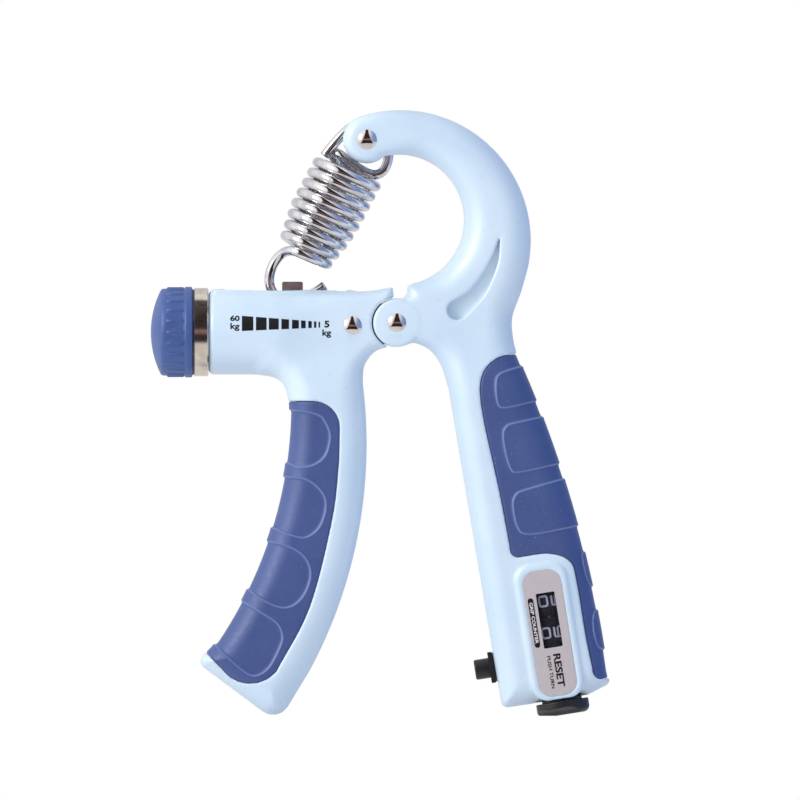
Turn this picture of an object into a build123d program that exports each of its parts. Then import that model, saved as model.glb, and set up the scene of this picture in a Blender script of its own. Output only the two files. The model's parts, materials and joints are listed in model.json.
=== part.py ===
from build123d import *
import os
from math import cos, radians, sin

# Hand grip strengthener, millimetres, +Z up, +X towards the counter handle, front face towards -Y.
# Two arms meet at a steel hinge. A tension spring pulls the tip of the C-shaped lever arm towards
# the barrel of the adjuster arm, and a screw in the barrel moves the spring's lower anchor.

# ---- driving dimensions ----
PIVOT = (4.48, 103.65)            # hinge axis, X and Z
TONGUE_RIVET = (-7.33, 102.88)    # rivet that fixes the steel tongue in the adjuster arm
TIP = (-3.45, 151.97)             # pin at the end of the C, where the spring hangs
KNUCKLE_R = 6.35
KNUCKLE_GAP = 0.3
HANDLE_HALF = 11.0                # half depth of both handles
HEAD_HALF = 9.0                   # half depth of the hinge head
C_HALF = 8.5                      # half depth of the C
GRIP_WALL = 2.4                   # thickness of the soft grips
CAVITY_INSET = 4.7                # casing outline to the hollow inside it
CAVITY_HALF = 6.4

BARREL_Z = 101.2
BARREL_R = 11.2
BARREL_LEFT = -45.2
BARREL_RIGHT = -15.0
BORE_R = 7.0
BORE_END = -14.6
SLOT_HALF = 3.2
SLOT_LEFT = -40.5
SLOT_RIGHT = -9.0
SLOT_FLOOR_RIGHT = 108.2

COLLAR_LEFT = -49.2
COLLAR_R = 11.64
KNOB_R = 11.95
KNOB_TIP = -60.42
KNOB_BACK = -49.45
RIB_COUNT = 24
RIB_R = 11.8

SCREW_R = 3.0
RUNNING_GAP = 0.05
CARRIAGE_X = -23.07
CARRIAGE_LENGTH = 6.8
SADDLE_LENGTH = 5.5
SADDLE_TOP = 114.5
SADDLE_UNDERSIDE = 111.8

WIRE_R = 1.3
SPRING_TILT = 62.3                # degrees above horizontal
COIL_R = 8.35
COIL_PITCH = 3.0

PIN_R = 2.0
RIVET_HEAD_R = 2.64
RIVET_HEAD_HEIGHT = 0.95

HANDLE_TILT = 9.0                 # lean of the lever handle
COUNTER_ORIGIN = (44.7, 0, 21.9)  # middle of the label plate, on the parting plane
BOSS_FRONT = -11.9
PLATE_THICKNESS = 0.5
LENS_THICKNESS = 0.5
WINDOW = (0.45, 3.37, 5.0, 14.6)  # centre across, centre along, width, length
COUNTER_AXIS = (0.45, -4.95)      # across and depth
WHEEL_R = 5.3
WHEEL_PITCH = 8.4
WHEEL_WIDTH = 8.0
UNITS_WHEEL_Z = 0.05
SHAFT_R = 1.5
PLUNGER_Z = -6.6
PLUNGER_TIP = -21.0
PLUNGER_R = 2.65
RESET_TOP = -19.2                 # upper face of the reset knob, along the handle
RESET_HEIGHT = 2.086
RESET_R = 6.95
RESET_HUB_R = 5.2

COUNTER = Location(COUNTER_ORIGIN, (0, -HANDLE_TILT, 0))


# ---- helpers ----
def flat(*edges):
    """Face in the XZ plane from edges drawn in X and Z."""
    return Plane.XZ * make_face(list(edges))


def prism(face, half):
    return extrude(face, amount=half, both=True)


def soften(solid, half, radius):
    """Round the rims of a prism at both ends of its depth."""
    rims = solid.edges().filter_by_position(Axis.Y, half - 0.01, half + 0.01)
    rims += solid.edges().filter_by_position(Axis.Y, -half - 0.01, -half + 0.01)
    return fillet(rims, radius)


def block(x0, x1, y0, y1, z0, z1):
    return Pos((x0 + x1) / 2, (y0 + y1) / 2, (z0 + z1) / 2) * Box(x1 - x0, y1 - y0, z1 - z0)


def rod_x(radius, x0, x1, y=0.0, z=BARREL_Z):
    return Location(((x0 + x1) / 2, y, z), (0, 90, 0)) * Cylinder(radius, x1 - x0)


def rod_y(radius, x, z, y0, y1):
    return Location((x, (y0 + y1) / 2, z), (90, 0, 0)) * Cylinder(radius, y1 - y0)


def rod_z(radius, x, y, z0, z1):
    return Pos(x, y, (z0 + z1) / 2) * Cylinder(radius, z1 - z0)


def on_circle(centre, radius, angle):
    return (centre[0] + radius * cos(radians(angle)), centre[1] + radius * sin(radians(angle)))


def front_half(solid):
    return solid & block(-100, 100, -30, 0, -20, 200)


def rear_half(solid):
    return solid & block(-100, 100, 0, 30, -20, 200)


# ---- adjuster arm outlines ----
def adjuster_handle_outline():
    outer_top = (-24.4, 97.0)
    outer_start = (-24.03, 80.0)
    outer_end = (-43.03, 20.0)
    heel = (-48.4, 14.2)
    toe = (-26.9, -1.8)
    inner_start = (-18.45, 12.1)
    inner_end = (-4.2, 84.9)
    inner_top = (-4.6, 97.0)
    face = make_face([
        Line(outer_top, outer_start),
        ThreePointArc(outer_start, (-29.45, 48.0), outer_end),
        Line(outer_end, heel),
        Line(heel, toe),
        Line(toe, inner_start),
        ThreePointArc(inner_start, (-6.0, 46.7), inner_end),
        Line(inner_end, inner_top),
        Line(inner_top, outer_top),
    ])
    corners = face.vertices().filter_by_position(Axis.Y, -5, 15)
    heel_corner = corners.sort_by(Axis.X)[0]
    face = fillet(heel_corner, 2.0)
    toe_corner = face.vertices().sort_by(Axis.Y)[0]
    return fillet(toe_corner, 4.6)


def adjuster_head_outline():
    """Outline of the hinge head; the round room for the knuckle is cut from it afterwards."""
    lip = (3.35, 113.04)
    under_knuckle = (3.2, 97.45)
    return flat(
        Line((-30.5, 96.0), (-22.0, 112.1)),
        Line((-22.0, 112.1), (-9.0, 111.9)),
        Spline((-9.0, 111.9), (-2.5, 112.1), lip, tangents=[(1, 0), (1, 0.25)]),
        Line(lip, (3.9, 108.5)),
        Line((3.9, 108.5), under_knuckle),
        Spline(under_knuckle, (-1.05, 96.2), (-4.6, 92.4), (-8.0, 86.0)),
        Line((-8.0, 86.0), (-22.0, 84.5)),
        Line((-22.0, 84.5), (-24.4, 84.0)),
        Spline((-24.4, 84.0), (-26.2, 88.2), (-30.5, 90.1), tangents=[(0, 1), (-1, 0)]),
        Line((-30.5, 90.1), (-30.5, 96.0)),
    )


def adjuster_grip_region():
    return flat(
        Line((-60.0, 83.0), (-17.5, 83.0)),
        ThreePointArc((-17.5, 83.0), (-12.6, 80.9), (-10.6, 76.0)),
        Spline((-10.6, 76.0), (-11.0, 65.0), (-12.8, 50.9), (-18.6, 28.5), (-27.4, 11.6)),
        ThreePointArc((-27.4, 11.6), (-34.0, 8.5), (-41.6, 12.4)),
        Line((-41.6, 12.4), (-60.0, 30.8)),
        Line((-60.0, 30.8), (-60.0, 83.0)),
    )


# ---- lever arm outlines ----
C_OUTER = ((5.26, 125.28), 34.5)
C_INNER = ((4.96, 130.78), 17.16)


def lever_head_outline():
    knuckle_top = on_circle(PIVOT, KNUCKLE_R, 78)
    knuckle_left = on_circle(PIVOT, KNUCKLE_R, 180)
    knuckle_low = on_circle(PIVOT, KNUCKLE_R, 256)
    inner_low = on_circle(*C_INNER, -78)
    inner_right = on_circle(*C_INNER, 5)
    inner_top = (1.04, 147.49)
    tip_left = (TIP[0] - KNUCKLE_R, TIP[1])
    tip_top = on_circle(TIP, KNUCKLE_R, 108.1)
    outer_top = on_circle(*C_OUTER, 50)
    outer_low = on_circle(*C_OUTER, -12)
    return flat(
        ThreePointArc(knuckle_top, knuckle_left, knuckle_low),
        Spline(knuckle_low, (5.6, 98.1), (9.5, 98.3), (13.7, 96.2), (16.4, 93.0), (21.0, 87.0)),
        Line((21.0, 87.0), (36.6, 88.0)),
        Spline((36.6, 88.0), (36.1, 94.2), (35.1, 99.1), (34.9, 105.2), (37.2, 111.8), outer_low),
        ThreePointArc(outer_low, outer_top, tip_top),
        ThreePointArc(tip_top, tip_left, inner_top),
        ThreePointArc(inner_top, inner_right, inner_low),
        Line(inner_low, (7.28, 113.35)),
        Line((7.28, 113.35), (7.2, 111.4)),
        Line((7.2, 111.4), knuckle_top),
    )


def lever_handle_outline():
    top_inner = (16.4, 96.0)
    front_corner = (32.2, 2.0)
    foot = (55.2, 4.8)
    back_corner = (60.5, 8.0)
    top_outer = (35.0, 97.6)
    face = make_face([
        Line(top_inner, front_corner),
        Line(front_corner, foot),
        Line(foot, back_corner),
        ThreePointArc(back_corner, (52.6, 48.5), top_outer),
        Line(top_outer, top_inner),
    ])
    foot_corners = face.vertices().filter_by_position(Axis.Y, 0, 12).sort_by(Axis.X)
    return fillet(foot_corners, 1.6)


def lever_grip_region():
    return flat(
        Line((36.2, 95.6), (35.9, 95.5)),
        Spline((35.9, 95.5), (30.6, 94.2), (26.8, 89.5), (26.9, 80.5), (31.5, 59.0), (34.3, 44.2)),
        ThreePointArc((34.3, 44.2), (34.9, 42.4), (36.5, 41.8)),
        Spline((36.5, 41.8), (44.5, 42.8), (50.0, 40.8), (51.8, 35.5), (54.2, 21.1), (57.0, 9.9)),
        Line((57.0, 9.9), (75.0, 7.0)),
        Line((75.0, 7.0), (75.0, 100.0)),
        Line((75.0, 100.0), (36.2, 95.6)),
    )


def tadpole_recess():
    """Comma-shaped hollow in the front of the C, where it meets the neck."""
    bulb = (20.3, 106.9)
    return flat(
        Spline((19.0, 109.3), (23.7, 112.3), (28.5, 118.9), (31.8, 126.8)),
        Spline((31.8, 126.8), (31.0, 119.4), (27.7, 111.5), (22.3, 105.4)),
        ThreePointArc((22.3, 105.4), on_circle(bulb, 2.55, 215), (19.0, 109.3)),
    )


# ---- fasteners ----
def rivet(x, z, face, radius, head_r):
    """Shank with a domed head on each side."""
    body = rod_y(radius, x, z, -face, face)
    ball_r = (head_r ** 2 + RIVET_HEAD_HEIGHT ** 2) / (2 * RIVET_HEAD_HEIGHT)
    ball = Pos(x, -face - RIVET_HEAD_HEIGHT + ball_r, z) * Sphere(ball_r)
    cap = ball & block(x - 9, x + 9, -face - 3, -face, z - 9, z + 9)
    return body + cap + mirror(cap, Plane.XZ)


CASE_SCREW_R = 1.1
CASE_SCREW_HEAD_R = 2.2
CASE_SCREW_LENGTH = 13.0
CASE_SCREW_HEAD = 1.5
SINK = 1.2


def case_screw(x, z, face):
    """Pan-head screw driven from the back, its head below the surface at depth face."""
    top = face - SINK
    head = rod_y(CASE_SCREW_HEAD_R, x, z, top - CASE_SCREW_HEAD, top)
    shank = rod_y(CASE_SCREW_R, x, z, top - CASE_SCREW_LENGTH, top - CASE_SCREW_HEAD)
    drive = rod_y(0.8, x, z, top - 0.7, top + 1)
    return head + shank - drive


def case_screw_hole(x, z, face):
    top = face - SINK
    counterbore = rod_y(CASE_SCREW_HEAD_R + 0.15, x, z, top - CASE_SCREW_HEAD, face + 3)
    return counterbore + rod_y(CASE_SCREW_R, x, z, top - CASE_SCREW_LENGTH, top)


def boss_post(x, z):
    return rod_y(3.1, x, z, -CAVITY_HALF - 1, CAVITY_HALF + 1)


ADJUSTER_SCREWS = [(-13.5, 87.5, HANDLE_HALF), (-7.0, 66.0, HANDLE_HALF - 0.6),
                   (-23.2, 10.6, HANDLE_HALF - 0.3)]
LEVER_SCREWS = [(13.0, 152.4, C_HALF), (31.0, 124.0, C_HALF), (23.4, 74.0, HANDLE_HALF - 0.6),
                (38.0, 7.5, HANDLE_HALF - 0.6)]


# ---- adjuster arm ----
def tongue_profile(grow=0.0):
    eye_r = 5.8
    tail_r = 4.4
    hull = make_hull([
        *(Pos(*PIVOT) * Circle(eye_r + grow)).edges(),
        *(Pos(*TONGUE_RIVET) * Circle(tail_r + grow)).edges(),
    ])
    return Plane.XZ * hull


TONGUE_HALF = 2.4


def hinge_tongue():
    plate = prism(tongue_profile(), TONGUE_HALF)
    plate -= rod_y(PIN_R + RUNNING_GAP, *PIVOT, -4, 4)
    return plate - rod_y(1.6, *TONGUE_RIVET, -4, 4)


def adjuster_parts():
    handle_face = adjuster_handle_outline()
    handle = soften(prism(Plane.XZ * handle_face, HANDLE_HALF), HANDLE_HALF, 6.0)
    head = soften(prism(adjuster_head_outline(), HEAD_HALF), HEAD_HALF, 1.2)
    barrel = rod_x(BARREL_R, BARREL_LEFT, BARREL_RIGHT)
    barrel = fillet(barrel.edges().sort_by(Axis.X)[0], 1.3)
    knuckle_room = rod_y(KNUCKLE_R + KNUCKLE_GAP, *PIVOT, -15, 15)
    whole = handle + barrel + head - knuckle_room

    core = prism(Plane.XZ * offset(handle_face, -GRIP_WALL), HANDLE_HALF - GRIP_WALL)
    grip = handle & prism(adjuster_grip_region(), 15)
    grip = grip - core - barrel
    grip = grip.solids().sort_by(SortBy.VOLUME)[-1]
    whole -= grip

    cavity = prism(Plane.XZ * offset(handle_face, -CAVITY_INSET), CAVITY_HALF)
    cavity &= block(-60, 0, -20, 20, 0, 84)
    for x, z, face in ADJUSTER_SCREWS:
        cavity -= boss_post(x, z)
    whole -= cavity
    whole -= rod_x(BORE_R, BARREL_LEFT - 1, BORE_END)
    whole -= rod_x(SCREW_R + RUNNING_GAP, BORE_END - 1, -12.6)
    whole -= block(SLOT_LEFT, BORE_END, -SLOT_HALF, SLOT_HALF, BARREL_Z, 120)
    whole -= block(BORE_END, SLOT_RIGHT, -SLOT_HALF, SLOT_HALF, SLOT_FLOOR_RIGHT, 120)
    whole -= prism(tongue_profile(), TONGUE_HALF)
    whole -= rod_y(1.6, *TONGUE_RIVET, -15, 15)
    for x, z, face in ADJUSTER_SCREWS:
        whole -= case_screw_hole(x, z, face)
    return {
        "adjuster_front_shell": front_half(whole),
        "adjuster_rear_shell": rear_half(whole),
        "adjuster_grip": grip,
        "adjuster_case_screws": Compound([case_screw(*place) for place in ADJUSTER_SCREWS]),
        "hinge_tongue": hinge_tongue(),
        "tongue_rivet": rivet(*TONGUE_RIVET, HEAD_HALF, 1.6, 2.57),
        "barrel_collar": barrel_collar(),
        "screw_bush": rod_x(BORE_R, COLLAR_LEFT, -41.2) - rod_x(SCREW_R + RUNNING_GAP, -60, -30),
    }


def barrel_collar():
    ring = rod_x(COLLAR_R, COLLAR_LEFT, BARREL_LEFT)
    ring = chamfer(ring.edges(), 0.35)
    return ring - rod_x(BORE_R, -60, -30)


# ---- adjusting knob, screw and carriage ----
def adjuster_knob():
    """Turned profile about the barrel axis, ribbed round its rim."""
    dome_r = 10.7
    shoulder_r = 11.45
    shoulder_x = -57.7
    band_x = -55.9
    flange_x = -51.4
    profile = make_face([
        Line((shoulder_x, 0), (KNOB_BACK, 0)),
        Line((KNOB_BACK, 0), (KNOB_BACK, KNOB_R)),
        Line((KNOB_BACK, KNOB_R), (flange_x, KNOB_R)),
        Line((flange_x, KNOB_R), (flange_x, RIB_R)),
        Line((flange_x, RIB_R), (band_x, RIB_R)),
        Line((band_x, RIB_R), (band_x, shoulder_r)),
        Line((band_x, shoulder_r), (shoulder_x, shoulder_r)),
        Line((shoulder_x, shoulder_r), (shoulder_x, 0)),
    ])
    body = Pos(0, 0, BARREL_Z) * revolve(Plane.XZ * profile, Axis.X)
    dome_height = shoulder_x - KNOB_TIP
    ball_r = (dome_r ** 2 + dome_height ** 2) / (2 * dome_height)
    ball = Pos(KNOB_TIP + ball_r, 0, BARREL_Z) * Sphere(ball_r)
    body += ball & rod_x(KNOB_R, KNOB_TIP - 1, shoulder_x)
    for i in range(RIB_COUNT):
        turn = Location((0, 0, BARREL_Z), (360 / RIB_COUNT * i, 0, 0))
        body -= turn * block(band_x - 0.5, flange_x, -1.1, 1.1, shoulder_r + 0.05, RIB_R + 1)
    return body - rod_x(SCREW_R, -56.0, -40)


def knob_parts():
    return {
        "adjuster_knob": adjuster_knob(),
        "adjuster_screw": rod_x(SCREW_R, -56.0, -12.9),
        "screw_clip": rod_x(5.0, -41.0, -40.2) - rod_x(SCREW_R, -60, -30),
    }


def carriage_parts():
    half = CARRIAGE_LENGTH / 2
    nut = rod_x(BORE_R - 0.3, CARRIAGE_X - half, CARRIAGE_X + half)
    nut -= rod_x(SCREW_R + RUNNING_GAP, -60, 0)
    saddle_half = SADDLE_LENGTH / 2
    saddle = block(CARRIAGE_X - saddle_half, CARRIAGE_X + saddle_half, -2.9, 2.9, 105.2, SADDLE_TOP)
    nut -= saddle
    saddle -= block(CARRIAGE_X - 9, CARRIAGE_X + 9, -1.6, 1.6, 106.4, SADDLE_UNDERSIDE)
    saddle = fillet(saddle.edges().filter_by(Axis.Y).group_by(Axis.Z)[-1], 0.5)
    nut -= block(CARRIAGE_X - 9, CARRIAGE_X + 9, -1.6, 1.6, 106.4, 110)
    return {"carriage_nut": nut, "spring_saddle": saddle}


# ---- spring ----
def wire_run(points, radii):
    path = FilletPolyline(*[(x, 0, z) for x, z in points], radius=radii)
    start = path @ 0
    heading = path % 0
    return sweep(Plane(start, z_dir=heading) * Circle(WIRE_R), path=path)


def coil(index_from_top):
    """One closed turn of the spring; the last four turns taper towards the hook."""
    taper = [8.35, 8.35, 8.35, 8.35, 8.35, 8.0, 7.6, 7.05, 6.4][index_from_top]
    along = COIL_PITCH * index_from_top
    ux, uz = cos(radians(SPRING_TILT)), sin(radians(SPRING_TILT))
    centre = (-4.2 - 5.1 - ux * along, 0, 141.85 - uz * along)
    return Plane(centre, x_dir=(0, 1, 0), z_dir=(ux, 0, uz)) * Torus(taper, WIRE_R)


def spring_parts():
    loop = wire_run(
        [(-12.2, 149.9), (-1.0, 142.6), (3.4, 144.5), (1.6, 155.9), (-8.4, 156.4), (-14.8, 147.9)],
        [2.6, 2.6, 4.2, 2.6],
    )
    hook = wire_run(
        [(-25.9, 123.0), (-29.0, 118.6), (-28.7, 112.4), (-25.2, 109.2), (-21.6, 109.2), (-14.5, 113.4)],
        [2.0, 3.0, 3.0, 3.0],
    )
    return {
        "spring_upper_loop": loop,
        "spring_coils": Compound([coil(i) for i in range(6)]),
        "spring_lower_end": coil(6) + coil(7) + coil(8) + hook,
        "tip_roller": rod_y(2.75, *TIP, -2.4, 2.4) - rod_y(PIN_R + RUNNING_GAP, *TIP, -4, 4),
    }


# ---- lever arm ----
HOUSING = (-6.2, 6.2, -10.85, 5.0, -13.4, 14.4)


def counter_panel():
    """Raised panel round the label plate, cut off by the foot of the handle."""
    panel = Plane.XZ * Pos(0, 0.35) * RectangleRounded(13.5, 36.3, 4.2)
    panel = extrude(panel, amount=-BOSS_FRONT)
    rim = panel.edges().filter_by_position(Axis.Y, BOSS_FRONT - 0.01, BOSS_FRONT + 0.01)
    return COUNTER * fillet(rim, 0.5)


def plate_solid(width, length, corner, front, thickness, centre=(0, 0)):
    sheet = Plane.XZ.offset(-front - thickness) * Pos(*centre) * RectangleRounded(width, length, corner)
    return extrude(sheet, amount=thickness)


def lever_parts():
    handle_face = lever_handle_outline()
    handle = soften(prism(Plane.XZ * handle_face, HANDLE_HALF), HANDLE_HALF, 6.0)
    head = soften(prism(lever_head_outline(), C_HALF), C_HALF, 1.2)
    knuckle = rod_y(KNUCKLE_R, *PIVOT, -HEAD_HALF, HEAD_HALF)
    whole = handle + head + knuckle
    whole += counter_panel()

    core = prism(Plane.XZ * offset(handle_face, -GRIP_WALL), HANDLE_HALF - GRIP_WALL)
    grip = handle & prism(lever_grip_region(), 15)
    grip = grip - core - counter_panel()
    grip = grip.solids().sort_by(SortBy.VOLUME)[-1]
    whole -= grip

    cavity = prism(Plane.XZ * offset(handle_face, -CAVITY_INSET), CAVITY_HALF)
    cavity &= block(0, 80, -20, 20, 0, 88)
    for x, z, face in LEVER_SCREWS:
        cavity -= boss_post(x, z)
    whole -= cavity

    whole -= rod_y(KNUCKLE_R + 0.55, *PIVOT, -TONGUE_HALF - 0.2, TONGUE_HALF + 0.2)
    whole -= block(-15, 5.6, -2.6, 2.6, 141, 165)
    whole -= rod_y(PIN_R, *PIVOT, -15, 15)
    whole -= rod_y(PIN_R, *TIP, -15, 15)
    whole -= Pos(0, -C_HALF, 0) * prism(tadpole_recess(), 1.0)

    left, right, front, _, low, high = HOUSING
    whole -= COUNTER * block(left - 0.1, right + 0.1, front, 6.0, low - 0.1, high + 0.1)
    plate_back = BOSS_FRONT + PLATE_THICKNESS
    whole -= COUNTER * plate_solid(10.1, 33.2, 3.5, BOSS_FRONT - 1, PLATE_THICKNESS + 1)
    whole -= COUNTER * plate_solid(WINDOW[2] + 1.4, WINDOW[3] + 1.4, 0.6, plate_back - 0.1, 1.5, WINDOW[:2])
    whole -= COUNTER * rod_x(3.9, -20, -5, 0, PLUNGER_Z)
    whole -= COUNTER * rod_z(2.3, *COUNTER_AXIS, -25, -10)
    whole -= COUNTER * rod_z(RESET_HUB_R + 0.3, *COUNTER_AXIS, -25, -16.4)
    for x, z, face in LEVER_SCREWS:
        whole -= case_screw_hole(x, z, face)
    return {
        "lever_front_shell": front_half(whole),
        "lever_rear_shell": rear_half(whole),
        "lever_grip": grip,
        "lever_case_screws": Compound([case_screw(*place) for place in LEVER_SCREWS]),
        "hinge_pin": rivet(*PIVOT, HEAD_HALF, PIN_R, RIVET_HEAD_R),
        "tip_pin": rivet(*TIP, C_HALF, PIN_R, RIVET_HEAD_R),
    }


# ---- counter ----
def wheel_z(place):
    return UNITS_WHEEL_Z + WHEEL_PITCH * place


def digit_wheel(place):
    z = wheel_z(place)
    wheel = rod_z(WHEEL_R, *COUNTER_AXIS, z - WHEEL_WIDTH / 2, z + WHEEL_WIDTH / 2)
    wheel -= rod_z(SHAFT_R + RUNNING_GAP, *COUNTER_AXIS, z - 5, z + 5)
    return wheel


PINION_R = 1.5
PINION_Y = 2.0


CARRY_SHAFT_R = 0.6
CARRY_SHAFT_REACH = 4.2           # half its length, about the gap between the wheels


def carry_z():
    return wheel_z(0) + WHEEL_PITCH / 2


def carry_pinion():
    z = carry_z()
    pinion = rod_z(PINION_R, COUNTER_AXIS[0], PINION_Y, z - 1.3, z + 1.3)
    return pinion - rod_z(CARRY_SHAFT_R + RUNNING_GAP, COUNTER_AXIS[0], PINION_Y, z - 5, z + 5)


RATCHET = (-7.3, -4.5)            # its lower and upper face
RATCHET_R = 3.0


def ratchet_wheel():
    z0, z1 = RATCHET
    wheel = rod_z(RATCHET_R, *COUNTER_AXIS, z0, z1)
    for i in range(10):
        notch = Location((*COUNTER_AXIS, 0), (0, 0, 36 * i)) * Pos(RATCHET_R - 0.2, 0, 0)
        wheel -= notch * block(-0.4, 0.5, 0, 0.9, z0 - 1, z1 + 1)
    return wheel - rod_z(SHAFT_R + RUNNING_GAP, *COUNTER_AXIS, z0 - 1, z1 + 1)


def counter_housing():
    housing = block(*HOUSING)
    wheels_low = wheel_z(0) - WHEEL_WIDTH / 2 - 0.25
    wheels_high = wheel_z(1) + WHEEL_WIDTH / 2 + 0.2
    shaft_top = HOUSING[5] - 0.5
    housing -= rod_z(WHEEL_R + 0.25, *COUNTER_AXIS, wheels_low, wheels_high)
    housing -= rod_z(RATCHET_R + 0.6, *COUNTER_AXIS, RATCHET[0] - 0.3, wheels_low)
    z = carry_z()
    housing -= rod_z(PINION_R + 0.3, COUNTER_AXIS[0], PINION_Y, z - 1.8, z + 1.8)
    housing -= rod_z(CARRY_SHAFT_R, COUNTER_AXIS[0], PINION_Y, z - CARRY_SHAFT_REACH, z + CARRY_SHAFT_REACH)
    housing -= rod_z(SHAFT_R + RUNNING_GAP, *COUNTER_AXIS, -20, shaft_top)
    housing -= rod_z(2.3, *COUNTER_AXIS, -20, -9.5)
    across, along, width, length = WINDOW
    housing -= block(across - width / 2, across + width / 2, -12, -6.0, wheels_low, wheels_high)
    housing -= rod_x(1.75, -8, 5.2, 0, PLUNGER_Z)
    housing -= block(-5.0, 5.2, -1.7, 1.35, PLUNGER_Z - 1.7, PLUNGER_Z + 1.9)
    return COUNTER * housing


def plunger_parts():
    cap = rod_x(PLUNGER_R, PLUNGER_TIP, -14.6, 0, PLUNGER_Z)
    cap = fillet(cap.edges().sort_by(Axis.X)[0], 0.5)
    rod = rod_x(1.5, -14.6, -1.0, 0, PLUNGER_Z)
    pawl = block(-3.6, -1.4, -1.45, 1.0, PLUNGER_Z - 1.4, PLUNGER_Z + 1.6)
    guide = block(-17.1, -15.9, -4.1, 4.1, PLUNGER_Z - 4.1, PLUNGER_Z + 4.1)
    guide += rod_x(3.85, -15.9, -6.35, 0, PLUNGER_Z)
    guide -= rod_x(PLUNGER_R + RUNNING_GAP, -30, -8.0, 0, PLUNGER_Z)
    guide -= rod_x(1.75, -9, -5, 0, PLUNGER_Z)
    spring = rod_x(2.45, -14.55, -8.0, 0, PLUNGER_Z) - rod_x(1.75, -20, -5, 0, PLUNGER_Z)
    return {
        "plunger": COUNTER * (cap + rod + pawl),
        "plunger_guide": COUNTER * guide,
        "plunger_spring": COUNTER * spring,
    }


def reset_parts():
    disc = rod_z(RESET_R, *COUNTER_AXIS, RESET_TOP - 1.55, RESET_TOP)
    disc = fillet(disc.edges().group_by(Axis.Z)[0], 0.4)
    wedge = block(-5.6, 6.5, -6.4, -3.5, RESET_TOP - RESET_HEIGHT, RESET_TOP - 1)
    hub = rod_z(RESET_HUB_R, *COUNTER_AXIS, RESET_TOP, RESET_TOP + 1.7)
    knob = disc + wedge + hub - rod_z(SHAFT_R, *COUNTER_AXIS, RESET_TOP, -17)
    shaft = rod_z(SHAFT_R, *COUNTER_AXIS, RESET_TOP, HOUSING[5] - 1.2)
    sleeve = rod_z(2.2, *COUNTER_AXIS, -16.1, -13.6) - rod_z(SHAFT_R + RUNNING_GAP, *COUNTER_AXIS, -30, 20)
    return {
        "reset_knob": COUNTER * knob,
        "counter_shaft": COUNTER * shaft,
        "reset_sleeve": COUNTER * sleeve,
    }


def counter_parts():
    plate = plate_solid(10.1, 33.2, 3.5, BOSS_FRONT, PLATE_THICKNESS)
    plate -= plate_solid(WINDOW[2], WINDOW[3], 0.4, BOSS_FRONT - 1, 3, WINDOW[:2])
    lens_front = BOSS_FRONT + PLATE_THICKNESS
    lens = plate_solid(WINDOW[2] + 1.4, WINDOW[3] + 1.4, 0.6, lens_front, LENS_THICKNESS, WINDOW[:2])
    reach = CARRY_SHAFT_REACH - 0.1
    carry_shaft = rod_z(CARRY_SHAFT_R, COUNTER_AXIS[0], PINION_Y, carry_z() - reach, carry_z() + reach)
    parts = {
        "counter_housing": counter_housing(),
        "label_plate": COUNTER * plate,
        "window_lens": COUNTER * lens,
        "ratchet_wheel": COUNTER * ratchet_wheel(),
        "carry_shaft": COUNTER * carry_shaft,
        "carry_pinion": COUNTER * carry_pinion(),
    }
    for place, name in enumerate(["units", "tens"]):
        parts["digit_wheel_" + name] = COUNTER * digit_wheel(place)
    return parts


def all_parts():
    parts = {}
    for group in (adjuster_parts, knob_parts, carriage_parts, spring_parts, lever_parts,
                  counter_parts, plunger_parts, reset_parts):
        parts.update(group())
    return parts


os.makedirs("parts", exist_ok=True)
for node, solid in all_parts().items():
    export_step(solid, "parts/" + node + ".step")
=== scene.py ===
import json
from functools import reduce
from math import atan2, ceil, cos, hypot, pi, radians, sin, tan

import bmesh
import bpy
import numpy as np
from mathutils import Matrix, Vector
from mathutils.bvhtree import BVHTree


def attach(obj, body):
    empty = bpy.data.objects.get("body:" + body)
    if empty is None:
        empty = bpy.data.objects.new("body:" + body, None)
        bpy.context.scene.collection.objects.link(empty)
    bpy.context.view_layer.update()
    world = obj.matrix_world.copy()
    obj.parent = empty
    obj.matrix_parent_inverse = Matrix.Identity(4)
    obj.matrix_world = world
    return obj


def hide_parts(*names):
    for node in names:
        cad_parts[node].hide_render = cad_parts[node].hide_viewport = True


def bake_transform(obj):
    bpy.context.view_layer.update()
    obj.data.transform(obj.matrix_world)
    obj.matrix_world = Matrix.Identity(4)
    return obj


# Looks of a hand grip strengthener. Lengths in this script are millimetres, turned into metres
# when a mesh is made. The casings, the grips, the reset knob and the case screws are sampled
# distance fields, negative inside, whose zero surface becomes a mesh. The rest is swept, turned
# or printed.

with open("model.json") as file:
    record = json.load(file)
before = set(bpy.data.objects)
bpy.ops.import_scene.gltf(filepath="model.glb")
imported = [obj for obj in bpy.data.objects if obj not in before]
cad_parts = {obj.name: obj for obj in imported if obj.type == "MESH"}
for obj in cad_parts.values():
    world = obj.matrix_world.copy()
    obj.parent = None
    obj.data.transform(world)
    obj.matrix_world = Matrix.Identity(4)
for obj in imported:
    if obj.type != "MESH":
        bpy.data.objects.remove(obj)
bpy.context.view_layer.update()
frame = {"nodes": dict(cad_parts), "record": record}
MM = 0.001

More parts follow.
